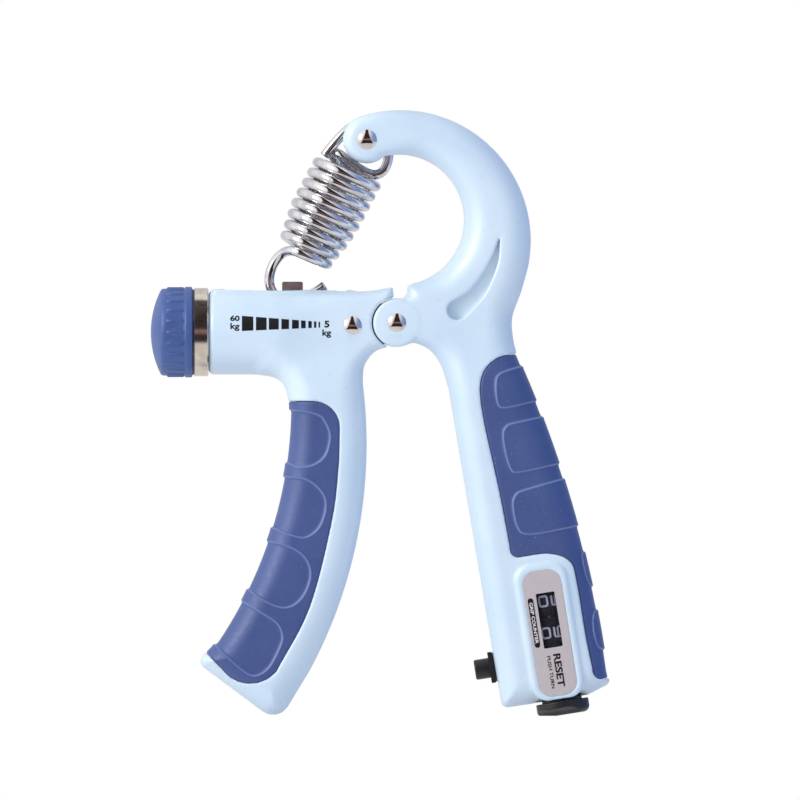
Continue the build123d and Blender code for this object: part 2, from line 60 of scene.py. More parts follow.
# ---- driving dimensions, the same as the CAD model's ----
PIVOT = (4.48, 103.65)
TONGUE_RIVET = (-7.33, 102.88)
TIP = (-3.45, 151.97)
KNUCKLE_R = 6.35
KNUCKLE_GAP = 0.3
HANDLE_HALF = 11.0
HEAD_HALF = 9.0
C_HALF = 8.5
GRIP_WALL = 2.4
CAVITY_INSET = 4.7
CAVITY_HALF = 6.4
TONGUE_HALF = 2.4
BARREL_Z = 101.2
BARREL_R = 11.2
BARREL_LEFT = -45.2
BARREL_RIGHT = -7.5
BORE_R = 7.0
BORE_END = -14.6
SLOT_HALF = 3.2
SLOT_LEFT = -40.5
SLOT_RIGHT = -9.0
SLOT_FLOOR_RIGHT = 108.2
SLOT_TOP = 111.95
C_OUTER = ((5.26, 125.28), 34.5)
C_INNER = ((4.96, 130.78), 17.16)
COUNTER_ORIGIN = (44.7, 21.9)
COUNTER_TILT = 9.0
BOSS_FRONT = -11.9
BOSS = (13.5, 36.2, 4.2, (0, 0.4))
PLATE = (10.1, 33.2, 3.5)
PLATE_THICKNESS = 0.5
WINDOW = (0.45, 3.37, 5.0, 14.6)
COUNTER_AXIS = (0.45, -4.95)
WHEEL_R = 5.3
WHEELS = (0.05, 8.45)
PLUNGER_Z = -6.6
PLUNGER_HOLE_R = 3.9
HUB_HOLE_R = 5.5
SHAFT_HOLE_R = 2.3
PIN_HOLE_R = 2.0
SHELL_STEP = 0.42
GRIP_STEP = 0.305

ADJUSTER_SCREWS = [(-13.5, 87.5, HANDLE_HALF), (-7.0, 66.0, HANDLE_HALF - 0.6),
                   (-23.2, 10.6, HANDLE_HALF - 0.3)]
LEVER_SCREWS = [(13.0, 152.4, C_HALF), (31.0, 124.0, C_HALF), (23.4, 74.0, HANDLE_HALF - 0.6),
                (38.0, 7.5, HANDLE_HALF - 0.6)]


# ---- outlines, as points in X and Z ----
def on_circle(centre, radius, angle):
    return (centre[0] + radius * cos(radians(angle)), centre[1] + radius * sin(radians(angle)))


def arc(start, middle, end, count=14):
    """Points from start to end on the circle through three places."""
    (x1, z1), (x2, z2), (x3, z3) = start, middle, end
    s1, s2, s3 = x1 * x1 + z1 * z1, x2 * x2 + z2 * z2, x3 * x3 + z3 * z3
    d = 2 * (x1 * (z2 - z3) + x2 * (z3 - z1) + x3 * (z1 - z2))
    cx = (s1 * (z2 - z3) + s2 * (z3 - z1) + s3 * (z1 - z2)) / d
    cz = (s1 * (x3 - x2) + s2 * (x1 - x3) + s3 * (x2 - x1)) / d
    a1, a2, a3 = (atan2(z - cz, x - cx) for x, z in (start, middle, end))
    turn = (a3 - a1) % (2 * pi)
    if (a2 - a1) % (2 * pi) > turn:
        turn -= 2 * pi
    r = hypot(x1 - cx, z1 - cz)
    return [(cx + r * cos(a1 + turn * i / count), cz + r * sin(a1 + turn * i / count))
            for i in range(count + 1)]


def curve(*points, count=7):
    """Points on a smooth curve through the given ones."""
    p = np.array(points, float)
    p = np.vstack([2 * p[0] - p[1], p, 2 * p[-1] - p[-2]])
    out = []
    for i in range(1, len(p) - 2):
        for t in np.arange(count) / count:
            a, b, c, d = p[i - 1:i + 3]
            out.append(0.5 * (2 * b + (c - a) * t + (2 * a - 5 * b + 4 * c - d) * t ** 2
                              + (3 * b - a - 3 * c + d) * t ** 3))
    return [tuple(q) for q in out] + [tuple(points[-1])]


def corner(before, at, after, radius, count=6):
    """Points of the arc that rounds one corner."""
    p, a, b = (np.array(q, float) for q in (at, before, after))
    u, v = (a - p) / np.linalg.norm(a - p), (b - p) / np.linalg.norm(b - p)
    half = np.arccos(np.clip(u @ v, -1, 1)) / 2
    reach = radius / tan(half)
    centre = p + (u + v) / np.linalg.norm(u + v) * radius / sin(half)
    start, end = p + u * reach, p + v * reach
    middle = centre + (p - centre) / np.linalg.norm(p - centre) * radius
    return arc(tuple(start), tuple(middle), tuple(end), count)


def adjuster_outline():
    heel, toe = (-48.4, 14.2), (-26.9, -1.8)
    outer_top, outer_low = (-24.03, 80.0), (-43.03, 20.0)
    inner_top, inner_low = (-4.2, 84.9), (-18.45, 12.1)
    lip = (3.35, 113.04)
    return [(-36.0, 97.0), (-31.0, 110.0), (-20.0, 111.9),
            *curve((-9.0, 111.8), (-2.5, 112.1), lip), (3.9, 108.5),
            *curve((3.2, 97.45), (-1.05, 96.2), (-4.0, 92.6), (-4.5, 88.4), inner_top),
            *arc(inner_top, (-6.0, 46.7), inner_low, 24), *corner(inner_low, toe, heel, 4.6),
            *corner(toe, heel, outer_low, 2.2), *arc(outer_low, (-29.45, 48.0), outer_top, 24),
            *curve((-24.2, 83.0), (-24.6, 85.2), (-25.4, 87.3), (-27.4, 89.6), (-31.0, 91.4))]


def adjuster_grip_region():
    return [(-60.0, 83.0), *arc((-17.5, 83.0), (-12.6, 80.9), (-10.6, 76.0), 6),
            *curve((-10.6, 76.0), (-11.0, 65.0), (-12.8, 50.9), (-18.6, 28.5), (-27.4, 11.6)),
            *arc((-27.4, 11.6), (-34.0, 8.5), (-41.6, 12.4), 6), (-60.0, 30.8)]


def lever_outline():
    tip_left, tip_top = (TIP[0] - KNUCKLE_R, TIP[1]), on_circle(TIP, KNUCKLE_R, 108.1)
    outer_top, outer_low = on_circle(*C_OUTER, 50), on_circle(*C_OUTER, -12)
    inner_top = (1.04, 147.49)
    inner_low, inner_right = on_circle(*C_INNER, -78), on_circle(*C_INNER, 5)
    knuckle_top, knuckle_low = on_circle(PIVOT, KNUCKLE_R, 78), on_circle(PIVOT, KNUCKLE_R, 256)
    front, foot, back = (32.2, 2.0), (54.8, 5.6), (60.6, 8.6)
    neck_left, neck_right = (18.1, 86.0), (37.9, 91.0)
    return [*arc(knuckle_top, on_circle(PIVOT, KNUCKLE_R, 180), knuckle_low),
            *curve((5.6, 98.1), (9.5, 98.2), (13.4, 96.2), (16.2, 92.2), neck_left),
            *corner(neck_left, front, foot, 1.8), *corner(front, foot, back, 1.8),
            *corner(foot, back, (57.9, 30.0), 1.6), *arc((59.9, 12.0), (52.6, 48.5), neck_right, 24),
            *curve((36.1, 95.4), (35.1, 99.6), (34.9, 105.2), (37.2, 111.8), outer_low),
            *arc(outer_low, outer_top, tip_top, 40), *arc(tip_top, tip_left, inner_top),
            *arc(inner_top, inner_right, inner_low, 40), (7.28, 113.35), (7.2, 111.4)]


def lever_grip_region():
    return [(36.2, 95.6),
            *curve((35.9, 95.5), (30.6, 94.2), (26.8, 89.5), (26.9, 80.5), (31.5, 59.0), (34.3, 44.2)),
            *arc((34.3, 44.2), (34.9, 42.4), (36.5, 41.8), 5),
            *curve((36.5, 41.8), (44.5, 42.8), (50.0, 40.8), (51.8, 35.5), (54.2, 21.1), (56.0, 12.4)),
            *arc((56.0, 12.4), (56.7, 10.4), (58.6, 9.7), 5), (75.0, 13.6), (75.0, 100.0)]


def tadpole_outline():
    """Comma-shaped hollow in the front of the C, where it meets the neck."""
    bulb = (20.3, 106.9)
    return [*curve((19.0, 109.3), (23.7, 112.3), (28.5, 118.9), (31.8, 126.8)),
            *curve((31.6, 125.6), (31.0, 119.4), (27.7, 111.5), (22.3, 105.4)),
            *arc((22.3, 105.4), on_circle(bulb, 2.55, 215), (19.0, 109.3), 8)]


# Finger pads of the adjuster grip, which are shallow hollows open to its outer edge.
ADJUSTER_PADS = [
    [(-60.0, 81.2), (-16.9, 81.2), (-13.3, 75.7), (-13.2, 72.2), (-14.5, 68.0), (-18.2, 65.7),
     (-22.1, 65.7), (-25.0, 67.1), (-60.0, 70.5)],
    [(-60.0, 63.9), (-21.6, 63.3), (-17.4, 61.4), (-14.5, 58.0), (-14.2, 54.6), (-15.7, 49.8),
     (-18.7, 47.2), (-21.6, 46.9), (-28.7, 49.8), (-60.0, 61.0)],
    [(-60.0, 53.0), (-29.5, 46.1), (-24.0, 44.8), (-19.8, 42.2), (-18.0, 38.0), (-19.2, 33.2),
     (-21.6, 29.8), (-25.0, 28.2), (-29.3, 29.5), (-35.1, 33.5), (-60.0, 52.0)],
    [(-60.0, 45.0), (-36.4, 30.3), (-30.3, 26.6), (-26.9, 24.5), (-25.4, 20.8), (-26.9, 16.9),
     (-29.3, 12.4), (-32.7, 10.3), (-35.6, 11.2), (-43.6, 18.5), (-60.0, 38.0)],
]

# Palm pads of the lever grip, which stand proud of it.
LEVER_PADS = [
    [(30.3, 88.3), (31.4, 90.4), (34.8, 91.5), (75.0, 103.0), (75.0, 92.0), (41.1, 83.1),
     (32.4, 80.9), (30.8, 82.1)],
    [(32.2, 74.9), (33.5, 76.7), (34.8, 77.2), (75.0, 85.6), (75.0, 73.2), (47.1, 66.6),
     (35.6, 63.8), (34.3, 65.1), (33.0, 69.3)],
    [(34.8, 56.1), (35.6, 58.3), (37.3, 59.6), (75.0, 69.6), (75.0, 55.2), (52.5, 50.3),
     (38.0, 47.2), (35.8, 50.1)],
    [(53.5, 43.8), (75.0, 49.0), (75.0, 38.5), (56.3, 33.5), (54.6, 35.6), (53.2, 41.8)],
    [(56.9, 28.7), (75.0, 33.2), (75.0, 21.0), (58.8, 17.1), (56.9, 19.0), (55.9, 25.3)],
]


# ---- distance fields ----
def outline_distance(x, z, outline):
    """Signed distance from points in X and Z to a closed outline."""
    nearest, inside = 1e9, False
    points = [p for i, p in enumerate(outline) if hypot(*np.subtract(p, outline[i - 1])) > 1e-6]
    for (x0, z0), (x1, z1) in zip(points, points[1:] + points[:1]):
        ex, ez = x1 - x0, z1 - z0
        wx, wz = x - x0, z - z0
        t = np.clip((wx * ex + wz * ez) / (ex * ex + ez * ez), 0, 1)
        nearest = np.minimum(nearest, (wx - ex * t) ** 2 + (wz - ez * t) ** 2)
        if z0 != z1:
            inside = inside ^ (((z0 > z) != (z1 > z)) & (x < x0 + wz * ex / ez))
    return np.where(inside, -1, 1) * np.sqrt(nearest)


class Grid:
    """Evenly spaced sample points, with Y split evenly about the parting plane."""

    def __init__(self, low, high, step):
        self.step = step
        counts = [ceil((b - a) / step) + 1 for a, b in zip(low, high)]
        counts[1] += counts[1] % 2
        self.low = np.array([low[0], -(counts[1] - 1) / 2 * step + (low[1] + high[1]) / 2, low[2]])
        axes = [self.low[i] + step * np.arange(counts[i]) for i in range(3)]
        self.x = axes[0].astype(np.float32)[:, None, None]
        self.y = axes[1].astype(np.float32)[None, :, None]
        self.z = axes[2].astype(np.float32)[None, None, :]

    def from_outline(self, outline):
        return outline_distance(self.x[:, 0, :], self.z[0, :, :], outline)[:, None, :]

    def rod_y(self, at, radius):
        return np.hypot(self.x - at[0], self.z - at[1]) - radius

    def bore(self, radius, left, right):
        return both(np.hypot(self.y, self.z - BARREL_Z) - radius, left - self.x, self.x - right)

    def block(self, x0, x1, y0, y1, z0, z1):
        return both(x0 - self.x, self.x - x1, y0 - self.y, self.y - y1, z0 - self.z, self.z - z1)

    def counter(self):
        """Places across and along the counter, which leans with the lever handle."""
        c, s = cos(radians(COUNTER_TILT)), sin(radians(COUNTER_TILT))
        dx, dz = self.x - COUNTER_ORIGIN[0], self.z - COUNTER_ORIGIN[1]
        return dx * c + dz * s, dz * c - dx * s

    def plate(self, width, length, radius, centre=(0, 0)):
        """Signed distance to a rounded rectangle on the counter."""
        across, along = self.counter()
        qx = np.abs(across - centre[0]) - width / 2 + radius
        qz = np.abs(along - centre[1]) - length / 2 + radius
        return (np.hypot(np.maximum(qx, 0), np.maximum(qz, 0))
                + np.minimum(np.maximum(qx, qz), 0) - radius)


def both(*fields):
    """Inside every one of the fields."""
    return reduce(np.maximum, fields)


def either(*fields):
    """Inside any of the fields."""
    return reduce(np.minimum, fields)


def corner_round(a, b, radius):
    """Where two fields meet, an outer corner of that radius."""
    a, b = a + radius, b + radius
    return np.minimum(np.maximum(a, b), 0) + np.hypot(np.maximum(a, 0), np.maximum(b, 0)) - radius


def slab(edge, y, half, rim):
    return corner_round(edge, np.abs(y) - half, rim)


def join(a, b, blend):
    h = np.clip(0.5 + 0.5 * (b - a) / blend, 0, 1)
    return b * (1 - h) + a * h - blend * h * (1 - h)


def cut(a, b, blend=0.5):
    """a without b, with the edge softened."""
    return -join(-a, b, blend)


def carved(body, hollows):
    """A body less each hollow in turn. Each is given with the blend of its edge."""
    for hollow, blend in hollows:
        body = cut(body, hollow, blend)
    return body


def ease(value, low, high):
    """0 below low, 1 above high, smooth between."""
    t = np.clip((value - low) / (high - low), 0, 1)
    return t * t * (3 - 2 * t)


def step_up(distance, width=0.5):
    """0 outside an outline and 1 inside it, with a slope of that width."""
    t = np.clip(0.5 - distance / width, 0, 1)
    return t * t * (3 - 2 * t)


def net(values, grid):
    """Vertices and quads of the zero surface of a sampled field."""
    inside = values < 0
    nx, ny, nz = (n - 1 for n in values.shape)
    offsets = [(i, j, k) for i in (0, 1) for j in (0, 1) for k in (0, 1)]
    total = sum(inside[i:i + nx, j:j + ny, k:k + nz].astype(np.int8) for i, j, k in offsets)
    cells = np.argwhere((total > 0) & (total < 8))
    index = np.full((nx, ny, nz), -1, np.int32)
    index[tuple(cells.T)] = np.arange(len(cells))
    at = {o: values[tuple((cells + o).T)] for o in offsets}
    place, count = np.zeros((len(cells), 3)), np.zeros(len(cells))
    for o in offsets:
        for axis in range(3):
            if o[axis]:
                continue
            p = tuple(v + (n == axis) for n, v in enumerate(o))
            a, b = at[o], at[p]
            crossing = (a < 0) != (b < 0)
            t = np.where(crossing, np.clip(a / np.where(crossing, a - b, 1), 0.02, 0.98), 0)
            point = np.array(o, float)[None, :] + np.eye(3)[axis] * t[:, None]
            place += point * crossing[:, None]
            count += crossing
    vertices = grid.low + grid.step * (cells + place / count[:, None])
    quads = []
    for axis in range(3):
        u, v = (axis + 1) % 3, (axis + 2) % 3
        here, there = [slice(1, -1)] * 3, [slice(1, -1)] * 3
        here[axis], there[axis] = slice(None, -1), slice(1, None)
        a, b = inside[tuple(here)], inside[tuple(there)]
        for leaving in (True, False):
            found = np.argwhere((a != b) & (a == leaving))
            found[:, u] += 1
            found[:, v] += 1
            ring = []
            for du, dv in ((-1, -1), (0, -1), (0, 0), (-1, 0)):
                q = found.copy()
                q[:, u] += du
                q[:, v] += dv
                ring.append(index[tuple(q.T)])
            quads.append(np.stack(ring if leaving else ring[::-1], 1))
    quads = np.vstack(quads)
    return relaxed(vertices, quads), quads


def relaxed(vertices, quads):
    """Vertices with small jogs smoothed out: a step to the neighbours' mean, then one back."""
    start = np.concatenate([quads[:, i] for i in range(4)])
    end = np.concatenate([quads[:, (i + 1) % 4] for i in range(4)])
    size = len(vertices)
    count = np.bincount(start, minlength=size) + np.bincount(end, minlength=size)
    for share in (0.5, -0.52):
        total = [np.bincount(start, column[end], size) + np.bincount(end, column[start], size)
                 for column in vertices.T]
        vertices = vertices + share * (np.stack(total, 1) / count[:, None] - vertices)
    return vertices


# ---- meshes ----
def make_piece(name, vertices, faces, material, body, slot, replaces=(), smooth=True):
    """A mesh object from millimetre vertices, riding on its body."""
    mesh = bpy.data.meshes.new(name)
    faces = np.asarray(faces)
    mesh.vertices.add(len(vertices))
    mesh.vertices.foreach_set("co", (np.asarray(vertices, float) * MM).ravel())
    mesh.loops.add(faces.size)
    mesh.loops.foreach_set("vertex_index", faces.astype(np.int32).ravel())
    mesh.polygons.add(len(faces))
    mesh.polygons.foreach_set("loop_start", np.arange(0, faces.size, faces.shape[1]))
    mesh.update(calc_edges=True)
    mesh.polygons.foreach_set("use_smooth", np.full(len(faces), smooth))
    return finish_piece(name, mesh, material, body, slot, replaces)


def finish_piece(name, mesh, material, body, slot, replaces=()):
    piece = bpy.data.objects.new(name, mesh)
    bpy.context.scene.collection.objects.link(piece)
    mesh.materials.clear()
    mesh.materials.append(material)
    if body:
        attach(piece, body)
    if replaces:
        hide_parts(*replaces)
    return piece


def tube(path, radius, around=16):
    """Swept round wire with softly cut ends."""
    path = np.asarray(path, float)
    heading = np.gradient(path, axis=0)
    heading /= np.linalg.norm(heading, axis=1)[:, None]
    side = np.cross(heading[0], [0.3, 1.0, 0.2])
    side /= np.linalg.norm(side)
    rings = []
    for i, (p, h) in enumerate(zip(path, heading)):
        side = side - h * (side @ h)
        side /= np.linalg.norm(side)
        other = np.cross(h, side)
        angles = 2 * pi * np.arange(around) / around
        ring = np.outer(np.cos(angles), side) + np.outer(np.sin(angles), other)
        wide, narrow = ring * radius, ring * radius * 0.78
        if i == 0:
            rings += [p - h * radius * 0.02 + narrow, p + h * radius * 0.16 + wide]
        elif i == len(path) - 1:
            rings += [p - h * radius * 0.16 + wide, p + h * radius * 0.02 + narrow]
        else:
            rings.append(p + wide)
    return stitched(rings, path[0], path[-1])


def stitched(rings, start, end):
    """Triangles over a row of rings, closed by a fan to a point at each end."""
    n, around = len(rings), len(rings[0])
    base = np.arange(n - 1)[:, None] * around
    j = np.arange(around)[None, :]
    k = (j + 1) % around
    quads = np.stack([base + j, base + k, base + around + k, base + around + j], 2).reshape(-1, 4)
    j, k = j[0], k[0]
    last = (n - 1) * around
    caps = np.vstack([np.stack([k, j, np.full(around, n * around)], 1),
                      np.stack([last + j, last + k, np.full(around, n * around + 1)], 1)])
    return np.vstack([*rings, start, end]), np.vstack([quads[:, [0, 1, 2]], quads[:, [0, 2, 3]], caps])


def turned(stations, angles, shape):
    """Closed body of revolution about the barrel axis. shape(x, r, angles) gives each ring's radii,
    and the first and last stations lie on the axis."""
    rings = []
    for x, r in stations[1:-1]:
        radii = shape(x, r, angles)
        rings.append(np.stack([np.full(len(angles), x), -radii * np.sin(angles),
                               BARREL_Z + radii * np.cos(angles)], 1))
    return stitched(rings, *((stations[i][0], 0, BARREL_Z) for i in (0, -1)))


def b_spline(points, count=8):
    """Smooth cubic curve that follows a list of control points and reaches both ends."""
    p = np.array(points, float)
    p = np.vstack([2 * p[0] - p[1], p, 2 * p[-1] - p[-2]])
    t = (np.arange(count) / count)[:, None]
    out = []
    for i in range(len(p) - 3):
        a, b, c, d = p[i:i + 4]
        out.append(((1 - t) ** 3 * a + (3 * t ** 3 - 6 * t ** 2 + 4) * b
                    + (-3 * t ** 3 + 3 * t ** 2 + 3 * t + 1) * c + t ** 3 * d) / 6)
    return np.vstack(out + [np.array(points[-1:], float)])


# ---- materials ----
class Nodes:
    """Short ways to add nodes to a shader tree."""

    def node(self, kind, **settings):
        made = self.tree.nodes.new(kind)
        for key, value in settings.items():
            setattr(made, key, value)
        return made

    def link(self, out, to):
        self.tree.links.new(out, to)

    def ramp(self, value, low, high, to_low=0.0, to_high=1.0, kind="LINEAR"):
        made = self.node("ShaderNodeMapRange", clamp=True, interpolation_type=kind)
        numbers = {"From Min": low, "From Max": high, "To Min": to_low, "To Max": to_high}
        for key, number in numbers.items():
            made.inputs[key].default_value = number
        self.link(value, made.inputs["Value"])
        return made.outputs["Result"]

    def mix(self, share, a, b):
        made = self.node("ShaderNodeMix", data_type="RGBA")
        self.link(share, made.inputs["Factor"])
        for value, socket in ((a, made.inputs[6]), (b, made.inputs[7])):
            if isinstance(value, tuple):
                socket.default_value = (*value, 1)
            else:
                self.link(value, socket)
        return made.outputs[2]


class Paint(Nodes):
    """A procedural material on the Principled shader, in object coordinates."""

    def __init__(self, name, roughness=0.5, metallic=0.0, **sockets):
        self.material = bpy.data.materials.new(name)
        self.material.use_nodes = True
        self.tree = self.material.node_tree
        self.shader = next(n for n in self.tree.nodes if n.type == "BSDF_PRINCIPLED")
        self.shader.inputs["Roughness"].default_value = roughness
        self.shader.inputs["Metallic"].default_value = metallic
        for key, value in sockets.items():
            self.shader.inputs[key.replace("_", " ")].default_value = value
        self.coordinates = self.node("ShaderNodeTexCoord").outputs["Object"]

    def noise(self, per_mm, detail=3.0, stretch=(1, 1, 1), roughness=0.5):
        """Noise from 0 to 1 whose features number per_mm each millimetre."""
        mapping = self.node("ShaderNodeMapping")
        mapping.inputs["Scale"].default_value = stretch
        self.link(self.coordinates, mapping.inputs["Vector"])
        made = self.node("ShaderNodeTexNoise")
        made.inputs["Scale"].default_value = per_mm / MM
        made.inputs["Detail"].default_value = detail
        made.inputs["Roughness"].default_value = roughness
        self.link(mapping.outputs["Vector"], made.inputs["Vector"])
        return made.outputs["Fac"]

    def measured(self, name):
        """A value kept at each vertex of the mesh."""
        return self.node("ShaderNodeAttribute", attribute_name=name).outputs["Fac"]

    def colour(self, out):
        self.link(out, self.shader.inputs["Base Color"])

    def rough(self, value, low, high):
        self.link(self.ramp(value, 0.3, 0.7, low, high), self.shader.inputs["Roughness"])

    def bump(self, heights):
        """Bumps from pairs of a height source and its depth in millimetres."""
        normal = None
        for value, depth in heights:
            made = self.node("ShaderNodeBump")
            made.inputs["Distance"].default_value = depth * MM
            made.inputs["Strength"].default_value = 1.0
            self.link(value, made.inputs["Height"])
            if normal:
                self.link(normal, made.inputs["Normal"])
            normal = made.outputs["Normal"]
        self.link(normal, self.shader.inputs["Normal"])


def linear(red, green, blue):
    """Scene colour of an sRGB value given from 0 to 255."""
    def one(v):
        v /= 255
        return v / 12.92 if v <= 0.04045 else ((v + 0.055) / 1.055) ** 2.4
    return one(red), one(green), one(blue)


def casing_paint():
    p = Paint("moulded_casing", 0.32, Coat_Weight=0.35, Coat_Roughness=0.25, Subsurface_Weight=0.08,
              Subsurface_Radius=(0.004, 0.005, 0.006), Subsurface_Scale=0.4)
    cloud = p.noise(0.045, 3)
    base = p.mix(p.ramp(cloud, 0.35, 0.65), linear(200, 219, 234), linear(207, 224, 237))
    scuffs = p.ramp(p.noise(1.3, 6, (1, 1, 0.35)), 0.66, 0.8, 0.0, 0.35)
    p.colour(p.mix(scuffs, base, linear(224, 237, 246)))
    p.rough(p.noise(0.5, 4), 0.27, 0.36)
    p.bump([(p.noise(6.0, 2), 0.0035), (p.noise(0.16, 2), 0.03)])
    return p.material


def grip_paint():
    p = Paint("moulded_rubber", 0.5, Specular_IOR_Level=0.85, Sheen_Weight=0.15, Sheen_Roughness=0.4)
    cloud = p.noise(0.06, 4)
    base = p.mix(p.ramp(cloud, 0.3, 0.7), linear(46, 70, 130), linear(54, 78, 140))
    # Pale lavender along the beads round the pads: a painted highlight on the pad edges.
    pad_edge_highlight = p.mix(p.ramp(p.measured("pad_edge_highlight"), 0.25, 1.0, 0.0, 0.6), base, linear(122, 144, 198))
    dust = p.ramp(p.noise(2.2, 2), 0.70, 0.76, 0.0, 0.55)
    p.colour(p.mix(dust, pad_edge_highlight, linear(150, 165, 200)))
    p.rough(p.noise(0.8, 4), 0.44, 0.56)
    p.bump([(p.noise(9.0, 3), 0.012), (p.noise(2.0, 3), 0.012)])
    return p.material


def knob_paint():
    p = Paint("knob_plastic", 0.42, Specular_IOR_Level=0.7)
    cloud = p.noise(0.1, 3)
    base = p.mix(p.ramp(cloud, 0.35, 0.65), linear(52, 80, 140), linear(60, 88, 149))
    scuffs = p.ramp(p.noise(1.6, 6, (0.3, 1, 1)), 0.62, 0.78, 0.0, 0.4)
    p.colour(p.mix(scuffs, base, linear(110, 128, 190)))
    p.rough(p.noise(1.0, 4), 0.36, 0.48)
    p.bump([(p.noise(8.0, 3), 0.006), (p.noise(0.5, 2), 0.01)])
    return p.material


def metal_paint(name, tone, dark, roughness, grain=(1, 1, 1), scratch=0.004):
    """Bare metal with faint stains and fine lines along the grain."""
    p = Paint(name, roughness, metallic=1.0)
    stain = p.ramp(p.noise(0.35, 4), 0.42, 0.72)
    lines = p.noise(5.0, 4, grain, 0.6)
    p.colour(p.mix(stain, p.mix(p.ramp(lines, 0.3, 0.7), tone, tuple(0.9 * v for v in tone)), dark))
    p.rough(lines, roughness * 0.75, roughness * 1.4)
    p.bump([(lines, scratch)])
    return p.material


def plastic_paint(name, tone, light, roughness, bump=0.008):
    """Fine-grained moulded plastic with pale rub marks."""
    p = Paint(name, roughness)
    cloud = p.noise(0.5, 4)
    base = p.mix(p.ramp(cloud, 0.3, 0.7), tone, tuple(1.25 * v for v in tone))
    p.colour(p.mix(p.ramp(p.noise(1.8, 6), 0.64, 0.8, 0.0, 0.5), base, light))
    p.rough(p.noise(1.6, 4), roughness * 0.85, roughness * 1.2)
    p.bump([(p.noise(7.0, 3), bump)])
    return p.material


def label_paint():
    p = Paint("label_foil", 0.38, metallic=0.55)
    grain = p.noise(7.0, 4)
    p.colour(p.mix(p.ramp(grain, 0.25, 0.75), linear(226, 218, 219), linear(244, 237, 237)))
    p.rough(grain, 0.32, 0.5)
    p.bump([(grain, 0.004)])
    return p.material


def lens_paint():
    p = Paint("window_lens", 0.06, Alpha=0.14, IOR=1.49)
    smear = p.noise(0.5, 3)
    p.colour(p.mix(smear, linear(40, 42, 52), linear(66, 68, 80)))
    p.rough(smear, 0.04, 0.12)
    p.bump([(p.noise(0.2, 2), 0.01)])
    return p.material


def print_paint(name, tone, worn):
    """Printing ink, thin enough in places to show the plastic below it."""
    p = Paint(name, 0.45)
    p.colour(p.mix(p.ramp(p.noise(3.5, 4), 0.55, 0.85), tone, worn))
    p.rough(p.noise(2.0, 3), 0.38, 0.55)
    p.bump([(p.noise(8.0, 2), 0.003)])
    return p.material


CASING = casing_paint()
RUBBER = grip_paint()
KNOB = knob_paint()
POLISHED = metal_paint("polished_steel", linear(236, 230, 226), linear(205, 196, 190), 0.08,
                       scratch=0.001)
COLLAR = metal_paint("turned_collar", linear(232, 222, 208), linear(205, 192, 178), 0.16,
                     (0.05, 1, 1), 0.002)
DARK_STEEL = metal_paint("dark_steel", linear(176, 156, 154), linear(132, 114, 112), 0.5,
                         (1, 0.2, 1), 0.004)
SPRING_STEEL = metal_paint("spring_steel", linear(236, 233, 234), linear(200, 196, 200), 0.07,
                           (1, 1, 1), 0.0006)
NYLON = plastic_paint("nylon", linear(226, 226, 218), linear(240, 240, 236), 0.45)
BLACK = plastic_paint("black_plastic", linear(27, 27, 31), linear(70, 70, 78), 0.4)
SCREW_STEEL = metal_paint("plated_screw", linear(206, 204, 204), linear(150, 146, 144), 0.28,
                          (1, 0.1, 1), 0.003)
WHEEL = plastic_paint("digit_wheel", linear(15, 15, 18), linear(36, 36, 42), 0.5)
LABEL = label_paint()
LENS = lens_paint()
INK = print_paint("black_ink", linear(13, 13, 16), linear(40, 42, 48))
WHITE_INK = print_paint("white_ink", linear(232, 232, 236), linear(200, 200, 206))
NUMERAL_INK = print_paint("numeral_ink", linear(212, 212, 238), linear(184, 186, 220))

SLOT_PAINT = {
    "casing": CASING, "grip": RUBBER, "knob": KNOB, "polished_steel": POLISHED, "bright_steel": COLLAR,
    "dark_steel": DARK_STEEL, "spring_steel": SPRING_STEEL, "nylon": NYLON, "black_plastic": BLACK,
    "label": LABEL, "lens": LENS, "digit_wheel": WHEEL,
}


def paint_cad_nodes():
    """Gives every carried-over CAD node the material of its slot."""
    slots = {entry["node"]: entry["material_slot"] for entry in frame["record"]["subparts"]}
    for name, node in frame["nodes"].items():
        node.data.materials.clear()
        node.data.materials.append(COLLAR if name == "barrel_collar" else SLOT_PAINT[slots[name]])


# ---- casing ----
POST_R, WELL_R, SHANK_HOLE_R = 3.1, 2.35, 1.1
SCREW_LENGTH, SCREW_SINK, HEAD_HEIGHT = 13.0, 1.2, 1.5


def screw_wells(grid, places):
    """Posts that stay in the hollow of a casing, and the wells cut for their screws."""
    posts, wells = [], []
    for x, z, face in places:
        seat = face - SCREW_SINK - grid.y
        posts.append(grid.rod_y((x, z), POST_R))
        wells += [both(grid.rod_y((x, z), WELL_R), seat - HEAD_HEIGHT),
                  both(grid.rod_y((x, z), SHANK_HOLE_R), seat - SCREW_LENGTH)]
    return either(*posts), either(*wells)


def tongue_distance(grid):
    """Distance to the steel tongue's outline, a hull of two circles."""
    ax, az = PIVOT
    bx, bz = TONGUE_RIVET
    t = np.clip(((grid.x - ax) * (bx - ax) + (grid.z - az) * (bz - az))
                / ((bx - ax) ** 2 + (bz - az) ** 2), 0, 1)
    return np.hypot(grid.x - ax - t * (bx - ax), grid.z - az - t * (bz - az)) - 5.8 + 1.4 * t


def make_halves(name, whole, grid, body):
    """Front and rear half shells that meet on the parting plane."""
    for side, behind in (("front", grid.y), ("rear", -grid.y)):
        mesh = net(both(whole, behind), grid)
        make_piece(f"{name}_{side}_casing", *mesh, CASING, body, "casing", [f"{name}_{side}_shell"])


